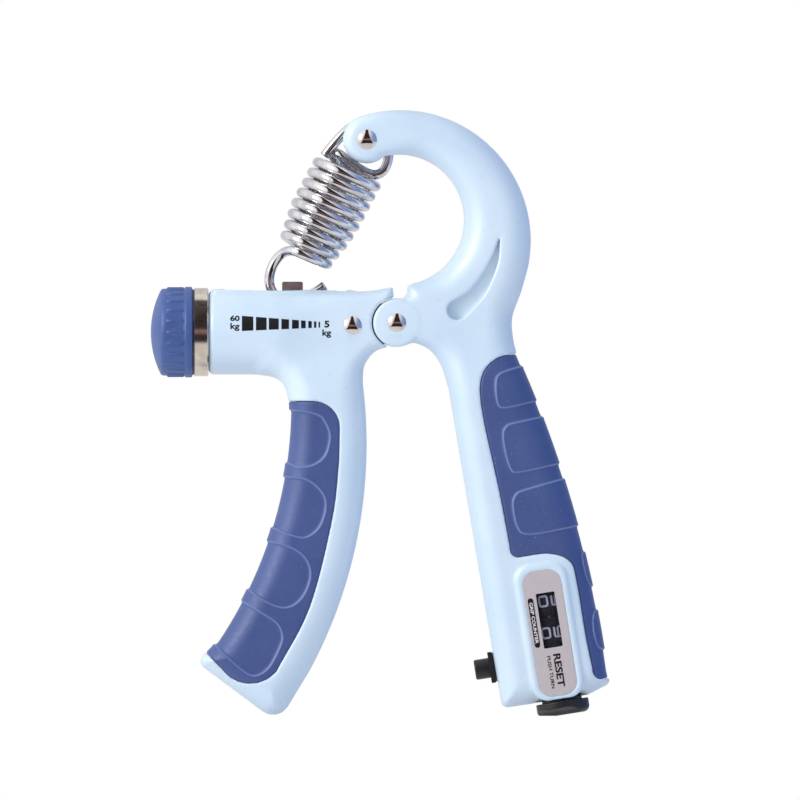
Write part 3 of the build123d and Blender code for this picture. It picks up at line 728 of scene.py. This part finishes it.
def adjuster_body(grid):
    """Distances to the outline of the adjuster arm and to its rounded body with the barrel."""
    edge = grid.from_outline(adjuster_outline())
    up = ease(grid.z, 84, 100)
    rim = 7.0 - 3.6 * up + 5.0 * up * (1 - ease(grid.x, -32, -8))
    arm = slab(edge, grid.y, HANDLE_HALF - (HANDLE_HALF - HEAD_HALF) * up, rim)
    taper = ease(grid.x, -28, -10)
    flattened = grid.y * (1 + (BARREL_R / HEAD_HALF - 1) * taper)
    radial = np.hypot(flattened, grid.z - BARREL_Z) - BARREL_R + 0.8 * taper
    barrel = corner_round(radial, both(BARREL_LEFT - grid.x, grid.x - BARREL_RIGHT), 1.4)
    land_top = SLOT_TOP + 0.4 * (1 - ease(grid.x, -42, -22))
    land = both(grid.block(SLOT_LEFT - 3, -12.0, -4.8, 4.8, 105, 115), grid.z - land_top)
    return edge, join(join(arm, barrel, 2.8), land, 0.9)


def adjuster_casing():
    grid = Grid((-48.8, -11.9, -1.2), (5.4, 11.9, 114.4), SHELL_STEP)
    edge, body = adjuster_body(grid)
    region = grid.from_outline(adjuster_grip_region())
    posts, wells = screw_wells(grid, ADJUSTER_SCREWS)
    # In order: seat of the lever's knuckle, grip seat, inside of the handle, screw bore, slot and
    # its shallow right end, tongue slot, tongue rivet, case screws.
    whole = carved(body, (
        (grid.rod_y(PIVOT, KNUCKLE_R + KNUCKLE_GAP), 0.6),
        (both(region, -(body + GRIP_WALL)), 0.35),
        (both(edge + CAVITY_INSET, np.abs(grid.y) - CAVITY_HALF, grid.z - 84, -posts), 0.5),
        (grid.bore(BORE_R, BARREL_LEFT - 3, BORE_END), 0.4),
        (grid.block(SLOT_LEFT, BORE_END, -SLOT_HALF, SLOT_HALF, BARREL_Z, 120), 0.7),
        (grid.block(BORE_END - 1, SLOT_RIGHT, -SLOT_HALF, SLOT_HALF, SLOT_FLOOR_RIGHT, 120), 0.7),
        (both(tongue_distance(grid), np.abs(grid.y) - TONGUE_HALF), 0.3),
        (grid.rod_y(TONGUE_RIVET, 1.6), 0.2),
        (wells, 0.4)))
    make_halves("adjuster", whole, grid, "adjuster_arm")


def lever_body(grid):
    """Distances to the outline of the lever arm, to its rounded body and to its counter panel."""
    edge = grid.from_outline(lever_outline())
    up = ease(grid.z, 84, 104)
    near_ear = either(grid.rod_y(TIP, 0), grid.rod_y(PIVOT, 0))
    head_rim = 3.0 + 4.0 * ease(near_ear, 5, 17)
    head_half = HEAD_HALF - (HEAD_HALF - C_HALF) * ease(grid.rod_y(PIVOT, 0), 8, 22)
    arm = slab(edge, grid.y, HANDLE_HALF * (1 - up) + head_half * up, 6.5 * (1 - up) + head_rim * up)
    knuckle = corner_round(grid.rod_y(PIVOT, KNUCKLE_R), np.abs(grid.y) - HEAD_HALF, 0.8)
    panel = corner_round(grid.plate(*BOSS), both(BOSS_FRONT - grid.y, grid.y), 0.7)
    return edge, join(join(arm, knuckle, 0.6), panel, 1.0), panel


def lever_casing():
    grid = Grid((-11.0, -12.3, 1.2), (61.4, 12.3, 160.6), SHELL_STEP)
    edge, body, panel = lever_body(grid)
    region = grid.from_outline(lever_grip_region())
    posts, wells = screw_wells(grid, LEVER_SCREWS)
    tadpole = grid.from_outline(tadpole_outline())
    across, along, width, length = WINDOW
    window = grid.plate(width + 1.4, length + 1.4, 0.6, (across, along))
    u, v = grid.counter()
    shaft = np.hypot(u - COUNTER_AXIS[0], grid.y - COUNTER_AXIS[1])
    # In order: grip seat, inside of the handle, tongue slot, slot for the spring, pin holes, comma,
    # label seat, window, counter chamber, plunger hole, reset hub, reset dial, shaft, case screws.
    whole = carved(body, (
        (both(region, -(body + GRIP_WALL), -panel - 0.2), 0.35),
        (both(edge + CAVITY_INSET, np.abs(grid.y) - CAVITY_HALF, grid.z - 88, -posts), 0.5),
        (both(grid.rod_y(PIVOT, KNUCKLE_R + 0.55), np.abs(grid.y) - TONGUE_HALF - 0.2), 0.3),
        (grid.block(-15, 5.6, -2.6, 2.6, 141, 165), 0.6),
        (either(grid.rod_y(PIVOT, PIN_HOLE_R), grid.rod_y(TIP, PIN_HOLE_R)), 0.2),
        (both(tadpole, grid.y + C_HALF - 2.3), 0.5),
        (both(grid.plate(*PLATE), grid.y - BOSS_FRONT - PLATE_THICKNESS), 0.25),
        (both(window, grid.y + 6.0), 0.3),
        (both(np.abs(u) - 6.3, -13.5 - v, v - 12.7, -10.85 - grid.y, grid.y - 6.0), 0.3),
        (both(np.hypot(grid.y, v - PLUNGER_Z) - PLUNGER_HOLE_R, -22 - u, u + 5), 0.6),
        (both(shaft - HUB_HOLE_R, v + 16.4), 0.4),
        (both(shaft - 7.5, v + 17.65), 0.15),
        (both(shaft - SHAFT_HOLE_R, v + 10), 0.3),
        (wells, 0.4)))
    make_halves("lever", whole, grid, "lever_arm")


# ---- grips ----
PAD_DEPTH = 0.5
GRIP_GAP = 0.06
BEAD_HEIGHT, BEAD_WIDTH = 0.16, 0.3
NO_PANEL = 1e3


def grip_sleeve(arm, grid, body, outline, pads, height, panel=NO_PANEL):
    """Rubber over the body, with pads that stand up or sink in, and a fine bead round each pad.
    Each vertex keeps how near it is to a bead, from 0 to 1, which the rubber paint turns into a painted
    highlight along the pad edges."""
    region = grid.from_outline(outline) + GRIP_GAP
    pads = [softened(pad) for pad in pads]
    relief = 0
    for pad in pads:
        distance = grid.from_outline(pad)
        bead = BEAD_HEIGHT * np.exp(-(distance / BEAD_WIDTH) ** 2)
        relief = relief + height * step_up(distance, 0.4) + bead
    outer = body - relief
    sleeve = both(-join(-outer, -region, 0.5), -(body + GRIP_WALL - 0.05))
    vertices, faces = net(cut(sleeve, panel - 0.15, 0.4), grid)
    piece = make_piece(f"{arm}_grip_sleeve", vertices, faces, RUBBER, f"{arm}_arm", "grip",
                       [f"{arm}_grip"])
    gaps = [np.abs(outline_distance(vertices[:, 0], vertices[:, 2], pad)) for pad in pads]
    # Nearness to a pad's edge, kept for the painted highlight there.
    pad_edge_highlight = np.exp(-(either(*gaps) / 0.26) ** 2).astype(np.float32)
    piece.data.attributes.new("pad_edge_highlight", "FLOAT", "POINT").data.foreach_set("value", pad_edge_highlight)


def softened(outline):
    """A closed outline with its corners cut three times, each time a quarter of the way along."""
    points = np.array(outline)
    for _ in range(3):
        after = np.roll(points, -1, axis=0)
        pairs = [0.75 * points + 0.25 * after, 0.25 * points + 0.75 * after]
        points = np.stack(pairs, 1).reshape(-1, 2)
    return [tuple(p) for p in points]


def adjuster_grip():
    grid = Grid((-49.6, -12.0, 7.0), (-9.6, 12.0, 84.4), GRIP_STEP)
    _, body = adjuster_body(grid)
    grip_sleeve("adjuster", grid, body + 0.12, adjuster_grip_region(), ADJUSTER_PADS, -PAD_DEPTH)


def lever_grip():
    grid = Grid((25.0, -12.0, 5.0), (61.8, 12.0, 98.0), GRIP_STEP)
    _, body, panel = lever_body(grid)
    grip_sleeve("lever", grid, body + 0.3, lever_grip_region(), LEVER_PADS, PAD_DEPTH, panel)


# ---- knob and screw ----
RIB_COUNT = 24


def adjuster_knob():
    """Domed knob with fine raised ribs round its band and a flange at its back."""
    tip, shoulder, band, flange, back = -60.42, -57.7, -56.2, -51.5, -49.45
    dome_r, ball_rise, rib_r = 10.75, 2.45, 11.6
    ball_r = (dome_r ** 2 + ball_rise ** 2) / (2 * ball_rise)
    stations = [(tip, 0.0)]
    for i in range(1, 19):
        r = dome_r * i / 18
        stations.append((tip + ball_r - (ball_r ** 2 - r ** 2) ** 0.5, r))
    stations += [(shoulder - 0.15, 10.95), (shoulder, 11.2), (shoulder + 0.3, 11.42),
                 (band - 0.25, 11.5), (band, 11.52), (band + 0.25, 11.52), (-54.6, 11.52),
                 (-53.2, 11.52), (flange - 0.35, 11.52), (flange - 0.1, 11.56), (flange, 11.75),
                 (flange + 0.25, 11.93), (flange + 0.6, 11.95), (back - 0.35, 11.95),
                 (back - 0.08, 11.8), (back, 11.5), (back, 8.0), (back, 0.0)]
    offsets = np.array([-1.2, -0.85, -0.5, -0.3, -0.2, 0.2, 0.3, 0.5, 0.85, 1.2])
    pitch = 2 * pi / RIB_COUNT
    angles = np.concatenate([i * pitch + offsets / rib_r for i in range(RIB_COUNT)])

    def shape(x, r, around):
        ribbed = band + 0.2 < x < flange - 0.3
        near = np.abs((around + pitch / 2) % pitch - pitch / 2) * rib_r
        lift = np.where(near < 0.22, 0.34, np.where(near < 0.35, 0.22, 0.0))
        return r + lift * ribbed

    make_piece("adjuster_knob_cap", *turned(stations, angles, shape), KNOB, "knob", "knob",
               ["adjuster_knob"])


def knob_washer():
    """Black ring in the gap between the knob and the collar: painted shade, standing in for the shadow
    in that gap.
    """
    left, right, radius = -49.48, -49.21, 11.3
    stations = [(left, 0.0), (left, radius - 0.1), (left + 0.1, radius), (right - 0.1, radius),
                (right, radius - 0.1), (right, 0.0)]
    angles = 2 * pi * np.arange(72) / 72
    make_piece("knob_washer", *turned(stations, angles, lambda x, r, around: np.full(len(around), r)),
               BLACK, "knob", "black_plastic")


def threaded_screw():
    """The adjusting screw, with its thread cut along the barrel."""
    radius, depth, pitch, per_turn = 2.98, 0.5, 1.5, 36
    left, right = -56.0, -12.9
    steps = 430
    stations = [(left + (right - left) * i / steps, radius) for i in range(steps + 1)]
    stations = [(left, 0.0), *stations, (right, 0.0)]
    angles = 2 * pi * np.arange(per_turn) / per_turn

    def shape(x, r, around):
        phase = (x / pitch - around / (2 * pi)) % 1
        groove = np.clip((0.5 - np.abs(phase - 0.5)) * 4 - 0.3, 0, 1)
        plain = x > right - 0.8
        return r - np.where(plain, 0.35, depth * (1 - groove))

    make_piece("adjuster_screw_thread", *turned(stations, angles, shape), DARK_STEEL, "knob",
               "dark_steel", ["adjuster_screw"])


# ---- spring ----
WIRE_R = 1.3
SPRING_TILT = 62.3
COIL_PITCH = 3.0
SPRING_ORIGIN = np.array([-9.3, 0.0, 141.85])
SPRING_DOWN = np.array([-cos(radians(SPRING_TILT)), 0, -sin(radians(SPRING_TILT))])
SPRING_RIGHT = np.array([sin(radians(SPRING_TILT)), 0, -cos(radians(SPRING_TILT))])
COIL_START = -1.8
TURNS_ABOVE = 6
COIL_STEP = 20


def coil_radius(turns):
    """Even for the first turns, then tapering towards the hook."""
    return 8.35 - 0.52 * max(0.0, turns - 4.6)


def coil_point(degrees_round):
    """Control point on the right-handed coil; 0 is at its right, and 90 in front."""
    swell = 6 / (4 + 2 * cos(radians(COIL_STEP)))
    turns = degrees_round / 360
    r = coil_radius(turns) * swell
    a = radians(degrees_round)
    return (SPRING_ORIGIN + SPRING_DOWN * (COIL_START + COIL_PITCH * turns)
            + SPRING_RIGHT * r * cos(a) - np.array([0, r * sin(a), 0]))


def spring_pieces():
    """The loop with six turns, and the last turns with the hook."""
    loop = [(-14.7, 0.0, 147.6), (-12.4, 0.0, 150.6), (-9.0, 0.0, 154.4), (-5.4, 0.0, 156.6),
            (-1.2, 0.0, 156.9), (1.6, 0.0, 154.4), (2.5, 0.0, 150.2), (2.2, 0.0, 145.6),
            (0.3, 0.0, 142.5), (-2.9, 0.0, 142.6), (-6.6, 0.2, 145.0), (-10.3, 0.6, 147.9),
            (-12.8, 2.0, 149.4), (-13.4, 4.6, 148.8)]
    upper = loop + [coil_point(d) for d in range(-120, 360 * TURNS_ABOVE + 1, COIL_STEP)]
    last = 360 * 8 + 120
    hook = [(-25.6, -1.6, 122.4), (-27.9, -0.4, 119.8), (-29.3, 0.0, 116.4), (-29.2, 0.0, 112.9),
            (-27.3, 0.0, 110.0), (-24.2, 0.0, 109.0), (-20.8, 0.0, 109.5), (-17.4, 0.0, 111.5),
            (-14.5, 0.0, 113.5)]
    lower = [coil_point(d) for d in range(360 * TURNS_ABOVE, last + 1, COIL_STEP)] + hook
    split = SPRING_ORIGIN + SPRING_DOWN * (COIL_START + COIL_PITCH * TURNS_ABOVE)
    top = SPRING_ORIGIN + SPRING_DOWN * COIL_START
    end = SPRING_ORIGIN + SPRING_DOWN * (COIL_START + COIL_PITCH * 8.2)
    for name, path, nodes, bodies, start, stop in (
            ("tension_spring_upper", upper, ["spring_upper_loop", "spring_coils"],
             ("spring_top", "spring_middle"), top, split),
            ("tension_spring_lower", lower, ["spring_lower_end"],
             ("spring_middle", "spring_bottom"), split, end)):
        piece = make_piece(name, *tube(b_spline(path, 4), WIRE_R, 18), SPRING_STEEL, None,
                           "spring_steel", nodes)
        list(bodies)
        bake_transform(piece)


# ---- printed marks ----
INK_DEPTH = 0.04
UNCUT = 50.0  # strips so wide that flat print stays whole


def on_counter(across, along):
    """X and Z of a place on the counter."""
    c, s = cos(radians(COUNTER_TILT)), sin(radians(COUNTER_TILT))
    return COUNTER_ORIGIN[0] + across * c - along * s, COUNTER_ORIGIN[1] + across * s + along * c


def front_of(name):
    """A function from X and Z to the Y of the front surface of a piece."""
    mesh = bpy.data.objects[name].data
    tree = BVHTree.FromPolygons([v.co for v in mesh.vertices], [p.vertices for p in mesh.polygons])

    def surface(x, z):
        hit = tree.ray_cast(Vector((x * MM, -0.1, z * MM)), Vector((0, 1, 0)))[0]
        return hit.y / MM

    return surface


def flat_words(words, weight=0.015):
    """Flat faces of a line of lettering, in the unit square that holds it."""
    text = bpy.data.curves.new("words", "FONT")
    text.body = words
    text.offset = weight
    text.resolution_u = 4
    holder = bpy.data.objects.new("words", text)
    mesh = bpy.data.meshes.new_from_object(holder)
    bpy.data.objects.remove(holder)
    points = np.array([v.co[:2] for v in mesh.vertices])
    low, high = points.min(0), points.max(0)
    faces = [tuple(p.vertices) for p in mesh.polygons]
    bpy.data.meshes.remove(mesh)
    return (points - low) / (high - low), faces


def flat_outline(points):
    return np.array(points, float), [tuple(range(len(points)))]


def printed(name, marks, surface, paint, body, slot, strips=0.5):
    """Thin ink on a front surface, from flat marks in X and Z, cut into strips to follow it."""
    flat = bmesh.new()
    for points, faces in marks:
        corners = [flat.verts.new((x, 0, z)) for x, z in points]
        for face in faces:
            flat.faces.new([corners[i] for i in face])
    bmesh.ops.remove_doubles(flat, verts=flat.verts, dist=1e-4)
    for axis in (0, 2):
        places = [v.co[axis] for v in flat.verts]
        across = Vector((axis == 0, 0, axis == 2))
        for level in np.arange(min(places) + strips, max(places), strips):
            everything = flat.verts[:] + flat.edges[:] + flat.faces[:]
            bmesh.ops.bisect_plane(flat, geom=everything, plane_co=across * level, plane_no=across)
    bmesh.ops.triangulate(flat, faces=flat.faces)
    flat.verts.index_update()
    flat.normal_update()
    places = [(v.co.x, surface(v.co.x, v.co.z), v.co.z) for v in flat.verts]
    count = len(places)
    vertices = [(x, y + shift, z) for shift in (-INK_DEPTH, INK_DEPTH) for x, y, z in places]
    faces = []
    for face in flat.faces:
        ring = [v.index for v in face.verts]
        open_sides = {frozenset(v.index for v in e.verts) for e in face.edges if e.is_boundary}
        if face.normal.y > 0:
            ring.reverse()
        faces += [ring, [i + count for i in reversed(ring)]]
        for i, j in zip(ring, ring[1:] + ring[:1]):
            if frozenset((i, j)) in open_sides:
                faces += [[i, i + count, j + count], [i, j + count, j]]
    flat.free()
    make_piece(name, vertices, faces, paint, body, slot, smooth=False)


def put(flat, centre, size, turned_down=False):
    """Unit-square marks placed about a centre; turned down, they read down the counter."""
    points, faces = flat
    p = (points - 0.5) * size
    if turned_down:
        return [on_counter(centre[0] + y, centre[1] - x) for x, y in p], faces
    return [(centre[0] + x, centre[1] + y) for x, y in p], faces


def load_scale():
    """Bars that shrink from 60 kg to 5 kg, printed on the barrel."""
    bars = [(-36.4, -33.4), (-32.7, -29.9), (-29.3, -26.7), (-26.0, -24.0), (-23.2, -21.4),
            (-20.8, -19.6), (-18.9, -18.0), (-17.4, -16.8), (-16.2, -15.8)]

    def top(x):
        return 105.5 - 0.0777 * (x + 36.4)

    def bottom(x):
        return 101.5 + 0.0437 * (x + 36.4)

    marks = [flat_outline([(a, bottom(a)), (b, bottom(b)), (b, top(b)), (a, top(a))]) for a, b in bars]
    marks += [put(flat_words("60", 0.036), (-38.25, 104.85), (2.5, 1.5)),
              put(flat_words("kg", 0.026), (-38.25, 102.55), (2.4, 2.1)),
              put(flat_words("5", 0.036), (-14.0, 103.3), (1.3, 1.8)),
              put(flat_words("kg", 0.026), (-14.05, 100.8), (2.3, 2.2))]
    barrel = front_of("adjuster_front_casing")
    printed("load_scale_print", marks, barrel, INK, "adjuster_arm", "black_plastic")


def label_marks():
    """Words on the label plate, and a dark pill with pale words in it."""
    radius, low, high, middle = 0.73, -3.4, 9.8, -3.65
    pill = [on_counter(*on_circle((middle, along), radius, angle))
            for along, first in ((high - radius, 0), (low + radius, 180))
            for angle in range(first, first + 181, 15)]
    marks = [flat_outline(pill), put(flat_words("RESET", 0.03), (0.95, -10.1), (8.8, 1.95), True),
             put(flat_words("PUSH TURN"), (-1.25, -10.3), (8.6, 0.95), True)]
    printed("label_print", marks, lambda x, z: BOSS_FRONT, INK, "lever_arm", "black_plastic", UNCUT)
    words = [put(flat_words("GRIP COUNTER"), (middle, (low + high) / 2), (10.9, 0.86), True)]
    printed("label_words", words, lambda x, z: BOSS_FRONT - INK_DEPTH, WHITE_INK, "lever_arm",
            "label", UNCUT)


# Strokes of the counter numerals, on a cell one wide and one high.
NUMERALS = [
    [[(0, 0.5), (0, 0), (1, 0), (1, 1), (0, 1), (0, 0.5)]],
    [[(0.25, 0.8), (0.55, 1), (0.55, 0)]],
    [[(0, 1), (1, 1), (1, 0.5), (0, 0.5), (0, 0), (1, 0)]],
    [[(0, 1), (1, 1), (1, 0), (0, 0)], [(0.25, 0.5), (1, 0.5)]],
    [[(0, 1), (0, 0.4), (1, 0.4)], [(0.75, 0.8), (0.75, 0)]],
    [[(1, 1), (0, 1), (0, 0.5), (1, 0.5), (1, 0), (0, 0)]],
    [[(1, 1), (0, 1), (0, 0), (1, 0), (1, 0.55), (0, 0.55)]],
    [[(0, 1), (1, 1), (0.4, 0)]],
    [[(0, 0.5), (0, 0), (1, 0), (1, 1), (0, 1), (0, 0.5), (1, 0.5)]],
    [[(1, 0.45), (0, 0.45), (0, 1), (1, 1), (1, 0), (0, 0)]],
]
NUMERAL_WIDTH = 2.6
NUMERAL_HEIGHT = 2.1
STROKE_HALF = 0.26


def stroke_path(points):
    """Evenly spaced places on a stroke, with its corners rounded."""
    size = np.array([NUMERAL_WIDTH, NUMERAL_HEIGHT])
    p = [tuple((np.array(q, float) - 0.5) * size) for q in points]
    path = [p[0]]
    for before, at, after in zip(p, p[1:], p[2:]):
        straight = abs(np.cross(np.subtract(at, before), np.subtract(after, at))) < 1e-6
        path += [at] if straight else corner(before, at, after, 0.45)
    path = np.array(path + [p[-1]])
    gaps = np.hypot(*np.diff(path, axis=0).T)
    reach = np.concatenate([[0], np.cumsum(gaps)])
    even = np.linspace(0, reach[-1], ceil(reach[-1] / 0.22) + 1)
    return np.stack([np.interp(even, reach, path[:, i]) for i in (0, 1)], 1)


def numerals(name, body, along, lag):
    """0 to 9 wrapped round a digit wheel, reading down the counter. At rest the wheel lags a little."""
    vertices, faces = [], []
    proud, sunk = 0.03, -0.04
    for value, strokes in enumerate(NUMERALS):
        for points in strokes:
            path = stroke_path(points)
            heading = np.gradient(path, axis=0)
            heading /= np.hypot(*heading.T)[:, None]
            sideways = np.stack([-heading[:, 1], heading[:, 0]], 1) * STROKE_HALF
            first, count = len(vertices), len(path)
            for p, side in zip(path, sideways):
                left, right = p + side, p - side
                for (gx, gy), r in ((left, proud), (right, proud), (right, sunk), (left, sunk)):
                    radius = WHEEL_R + r
                    angle = radians(-36 * value - lag) + gy / WHEEL_R
                    x, z = on_counter(COUNTER_AXIS[0] + radius * sin(angle), along - gx)
                    vertices.append((x, COUNTER_AXIS[1] - radius * cos(angle), z))
            for i in range(count - 1):
                for j in range(4):
                    a, b = first + 4 * i + j, first + 4 * i + (j + 1) % 4
                    faces.append((a, b, b + 4, a + 4))
            last = first + 4 * (count - 1)
            faces += [(first + 3, first + 2, first + 1, first), (last, last + 1, last + 2, last + 3)]
    make_piece(name, vertices, faces, NUMERAL_INK, body, "label", smooth=False)


# ---- reset knob and case screws ----
RESET_R = 6.95
RESET_SPAN = (-21.9, -18.28)


def reset_dial():
    """Short drum under the foot, with a diagonal finger bar left between two scoops."""
    grid = Grid((37.0, -12.6, -0.6), (56.4, 2.8, 8.4), 0.16)
    u, v = grid.counter()
    across, deep = u - COUNTER_AXIS[0], grid.y - COUNTER_AXIS[1]
    radial = np.hypot(across, deep)
    low, high = RESET_SPAN
    drum = corner_round(corner_round(radial - RESET_R, low - v, 1.6), v - high, 0.2)
    turn = radians(28)
    off_bar = np.abs(deep * cos(turn) + across * sin(turn))
    scoop = np.hypot(off_bar - 5.6, v + 24.1) - 4.0
    knob = cut(drum, scoop, 0.5)
    knob = either(knob, both(radial - 5.3, -19.0 - v, v + 17.5))
    bore = both(radial - 1.2, -19.3 - v)
    knob = both(cut(knob, bore, 0.1), 0.02 - grid.z)
    make_piece("reset_dial", *net(knob, grid), BLACK, "reset_knob", "black_plastic", ["reset_knob"])


def case_screws(name, places, body, node):
    """Pan-head screws with a cross recess, driven in from the back."""
    grid = Grid((-2.6, -13.6, -2.6), (2.6, 0.4, 2.6), 0.16)
    r = np.hypot(grid.x, grid.z)
    head = corner_round(r - 2.2, both(-HEAD_HEIGHT - grid.y, grid.y), 0.55)
    thread = 0.14 * np.sin(2 * pi * grid.y / 1.0 + np.arctan2(grid.x, grid.z))
    shank = both(r - 0.95 + thread, -SCREW_LENGTH - grid.y, grid.y + 1.4)
    aside = np.abs(grid.x), np.abs(grid.z)
    wide, narrow = both(*aside), either(*aside)
    recess = both(wide - 1.25, narrow - 0.24, -0.75 - grid.y + 0.25 * wide)
    screw = cut(either(head, shank), recess, 0.12)
    vertices, faces = net(screw, grid)
    count = len(vertices)
    everything = np.vstack([vertices + [x, face - SCREW_SINK, z] for x, z, face in places])
    rings = np.vstack([faces + i * count for i in range(len(places))])
    make_piece(name, everything, rings, SCREW_STEEL, body, "bright_steel", [node])


# ---- camera, floor and light ----
VIEW_CENTRE = (5.27, 83.3)
VIEW_WIDTH = 210.9
VIEW_DISTANCE = 900.0


def stage():
    camera = bpy.data.objects.new("camera", bpy.data.cameras.new("camera"))
    bpy.context.scene.collection.objects.link(camera)
    camera.location = (VIEW_CENTRE[0] * MM, -VIEW_DISTANCE * MM, VIEW_CENTRE[1] * MM)
    camera.rotation_euler = (pi / 2, 0, 0)
    camera.data.type = "ORTHO"
    camera.data.ortho_scale = VIEW_WIDTH * MM
    camera.data.clip_start, camera.data.clip_end = 0.01, 20
    bpy.context.scene.camera = camera

    mesh = bpy.data.meshes.new("floor")
    half = 1.5
    corners = [(-half, -half, 0), (half, -half, 0), (half, half, 0), (-half, half, 0)]
    mesh.from_pydata(corners, [], [(0, 1, 2, 3)])
    floor = bpy.data.objects.new("floor", mesh)
    bpy.context.scene.collection.objects.link(floor)
    paint = Paint("floor", 0.7)
    paint.colour(paint.mix(paint.noise(0.002, 2), (0.86, 0.86, 0.87), (0.9, 0.9, 0.91)))
    mesh.materials.append(paint.material)
    floor.location.z = -0.0005
    floor.visible_glossy = False


def area_light(name, at, target, size, power):
    data = bpy.data.lights.new(name, "AREA")
    data.shape = "RECTANGLE"
    data.size, data.size_y = size
    data.energy = power
    lamp = bpy.data.objects.new(name, data)
    bpy.context.scene.collection.objects.link(lamp)
    lamp.location = at
    lamp.rotation_euler = (Vector(target) - Vector(at)).to_track_quat("-Z", "Y").to_euler()


class Sky(Nodes):
    """Shader nodes for a light tent whose colour depends on direction."""

    def __init__(self):
        world = bpy.data.worlds.new("studio")
        bpy.context.scene.world = world
        world.use_nodes = True
        self.tree = world.node_tree
        self.tree.nodes.clear()
        split = self.node("ShaderNodeSeparateXYZ")
        self.link(self.node("ShaderNodeTexCoord").outputs["Generated"], split.inputs[0])
        self.x, self.y, self.z = split.outputs

    def sums(self, operation, a, b=0.0):
        made = self.node("ShaderNodeMath", operation=operation)
        for value, socket in ((a, made.inputs[0]), (b, made.inputs[1])):
            if isinstance(value, float):
                socket.default_value = value
            else:
                self.link(value, socket)
        return made.outputs[0]

    def ease(self, value, low, high, most=1.0):
        return self.ramp(value, low, high, 0.0, most, "SMOOTHSTEP")


def lighting():
    """White tent, blue on the right, dimmer behind, with a dark upright strip beside the camera."""
    sky = Sky()
    tent = sky.mix(sky.ease(sky.y, 0.0, 0.8), (1.05, 1.05, 1.05), (0.7, 0.72, 0.78))
    tent = sky.mix(sky.ease(sky.x, 0.15, 0.8, 0.92), tent, (0.17, 0.31, 0.68))
    tent = sky.mix(sky.ease(sky.z, -0.2, -0.35), tent, (0.8, 0.79, 0.8))
    aside = sky.sums("ADD", sky.sums("ABSOLUTE", sky.x), sky.sums("MULTIPLY", sky.z, 0.4))
    upright = sky.sums("MULTIPLY", sky.ease(aside, 0.58, 0.46), sky.ease(sky.z, -0.5, -0.42))
    strip = sky.sums("MULTIPLY", upright, sky.ease(sky.y, 0.12, 0.0))
    paths = sky.node("ShaderNodeLightPath").outputs
    strip = sky.sums("MULTIPLY", strip, sky.sums("SUBTRACT", 1.0, paths["Is Diffuse Ray"]))
    glow = sky.ease(sky.sums("ABSOLUTE", sky.sums("SUBTRACT", sky.z, 0.02)), 0.16, 0.04)
    tent = sky.mix(strip, tent, sky.mix(glow, (0.035, 0.024, 0.026), (0.3, 0.19, 0.18)))
    light = sky.node("ShaderNodeBackground")
    light.inputs["Strength"].default_value = 1.0
    sky.link(sky.mix(paths["Is Camera Ray"], tent, (1.0, 1.0, 1.0)), light.inputs["Color"])
    sky.link(light.outputs[0], sky.node("ShaderNodeOutputWorld").inputs["Surface"])

    area_light("key", (-0.7, -0.5, 0.45), (0, 0, 0.09), (0.3, 0.5), 3.6)
    bpy.context.scene.view_settings.view_transform = "Standard"


paint_cad_nodes()
adjuster_casing()
lever_casing()
adjuster_grip()
lever_grip()
adjuster_knob()
knob_washer()
threaded_screw()
spring_pieces()
reset_dial()
case_screws("adjuster_screw_set", ADJUSTER_SCREWS, "adjuster_arm", "adjuster_case_screws")
case_screws("lever_screw_set", LEVER_SCREWS, "lever_arm", "lever_case_screws")
load_scale()
label_marks()
numerals("units_numerals", "units_wheel", WHEELS[0], 15)
numerals("tens_numerals", "tens_wheel", WHEELS[1], 9)
stage()
lighting()
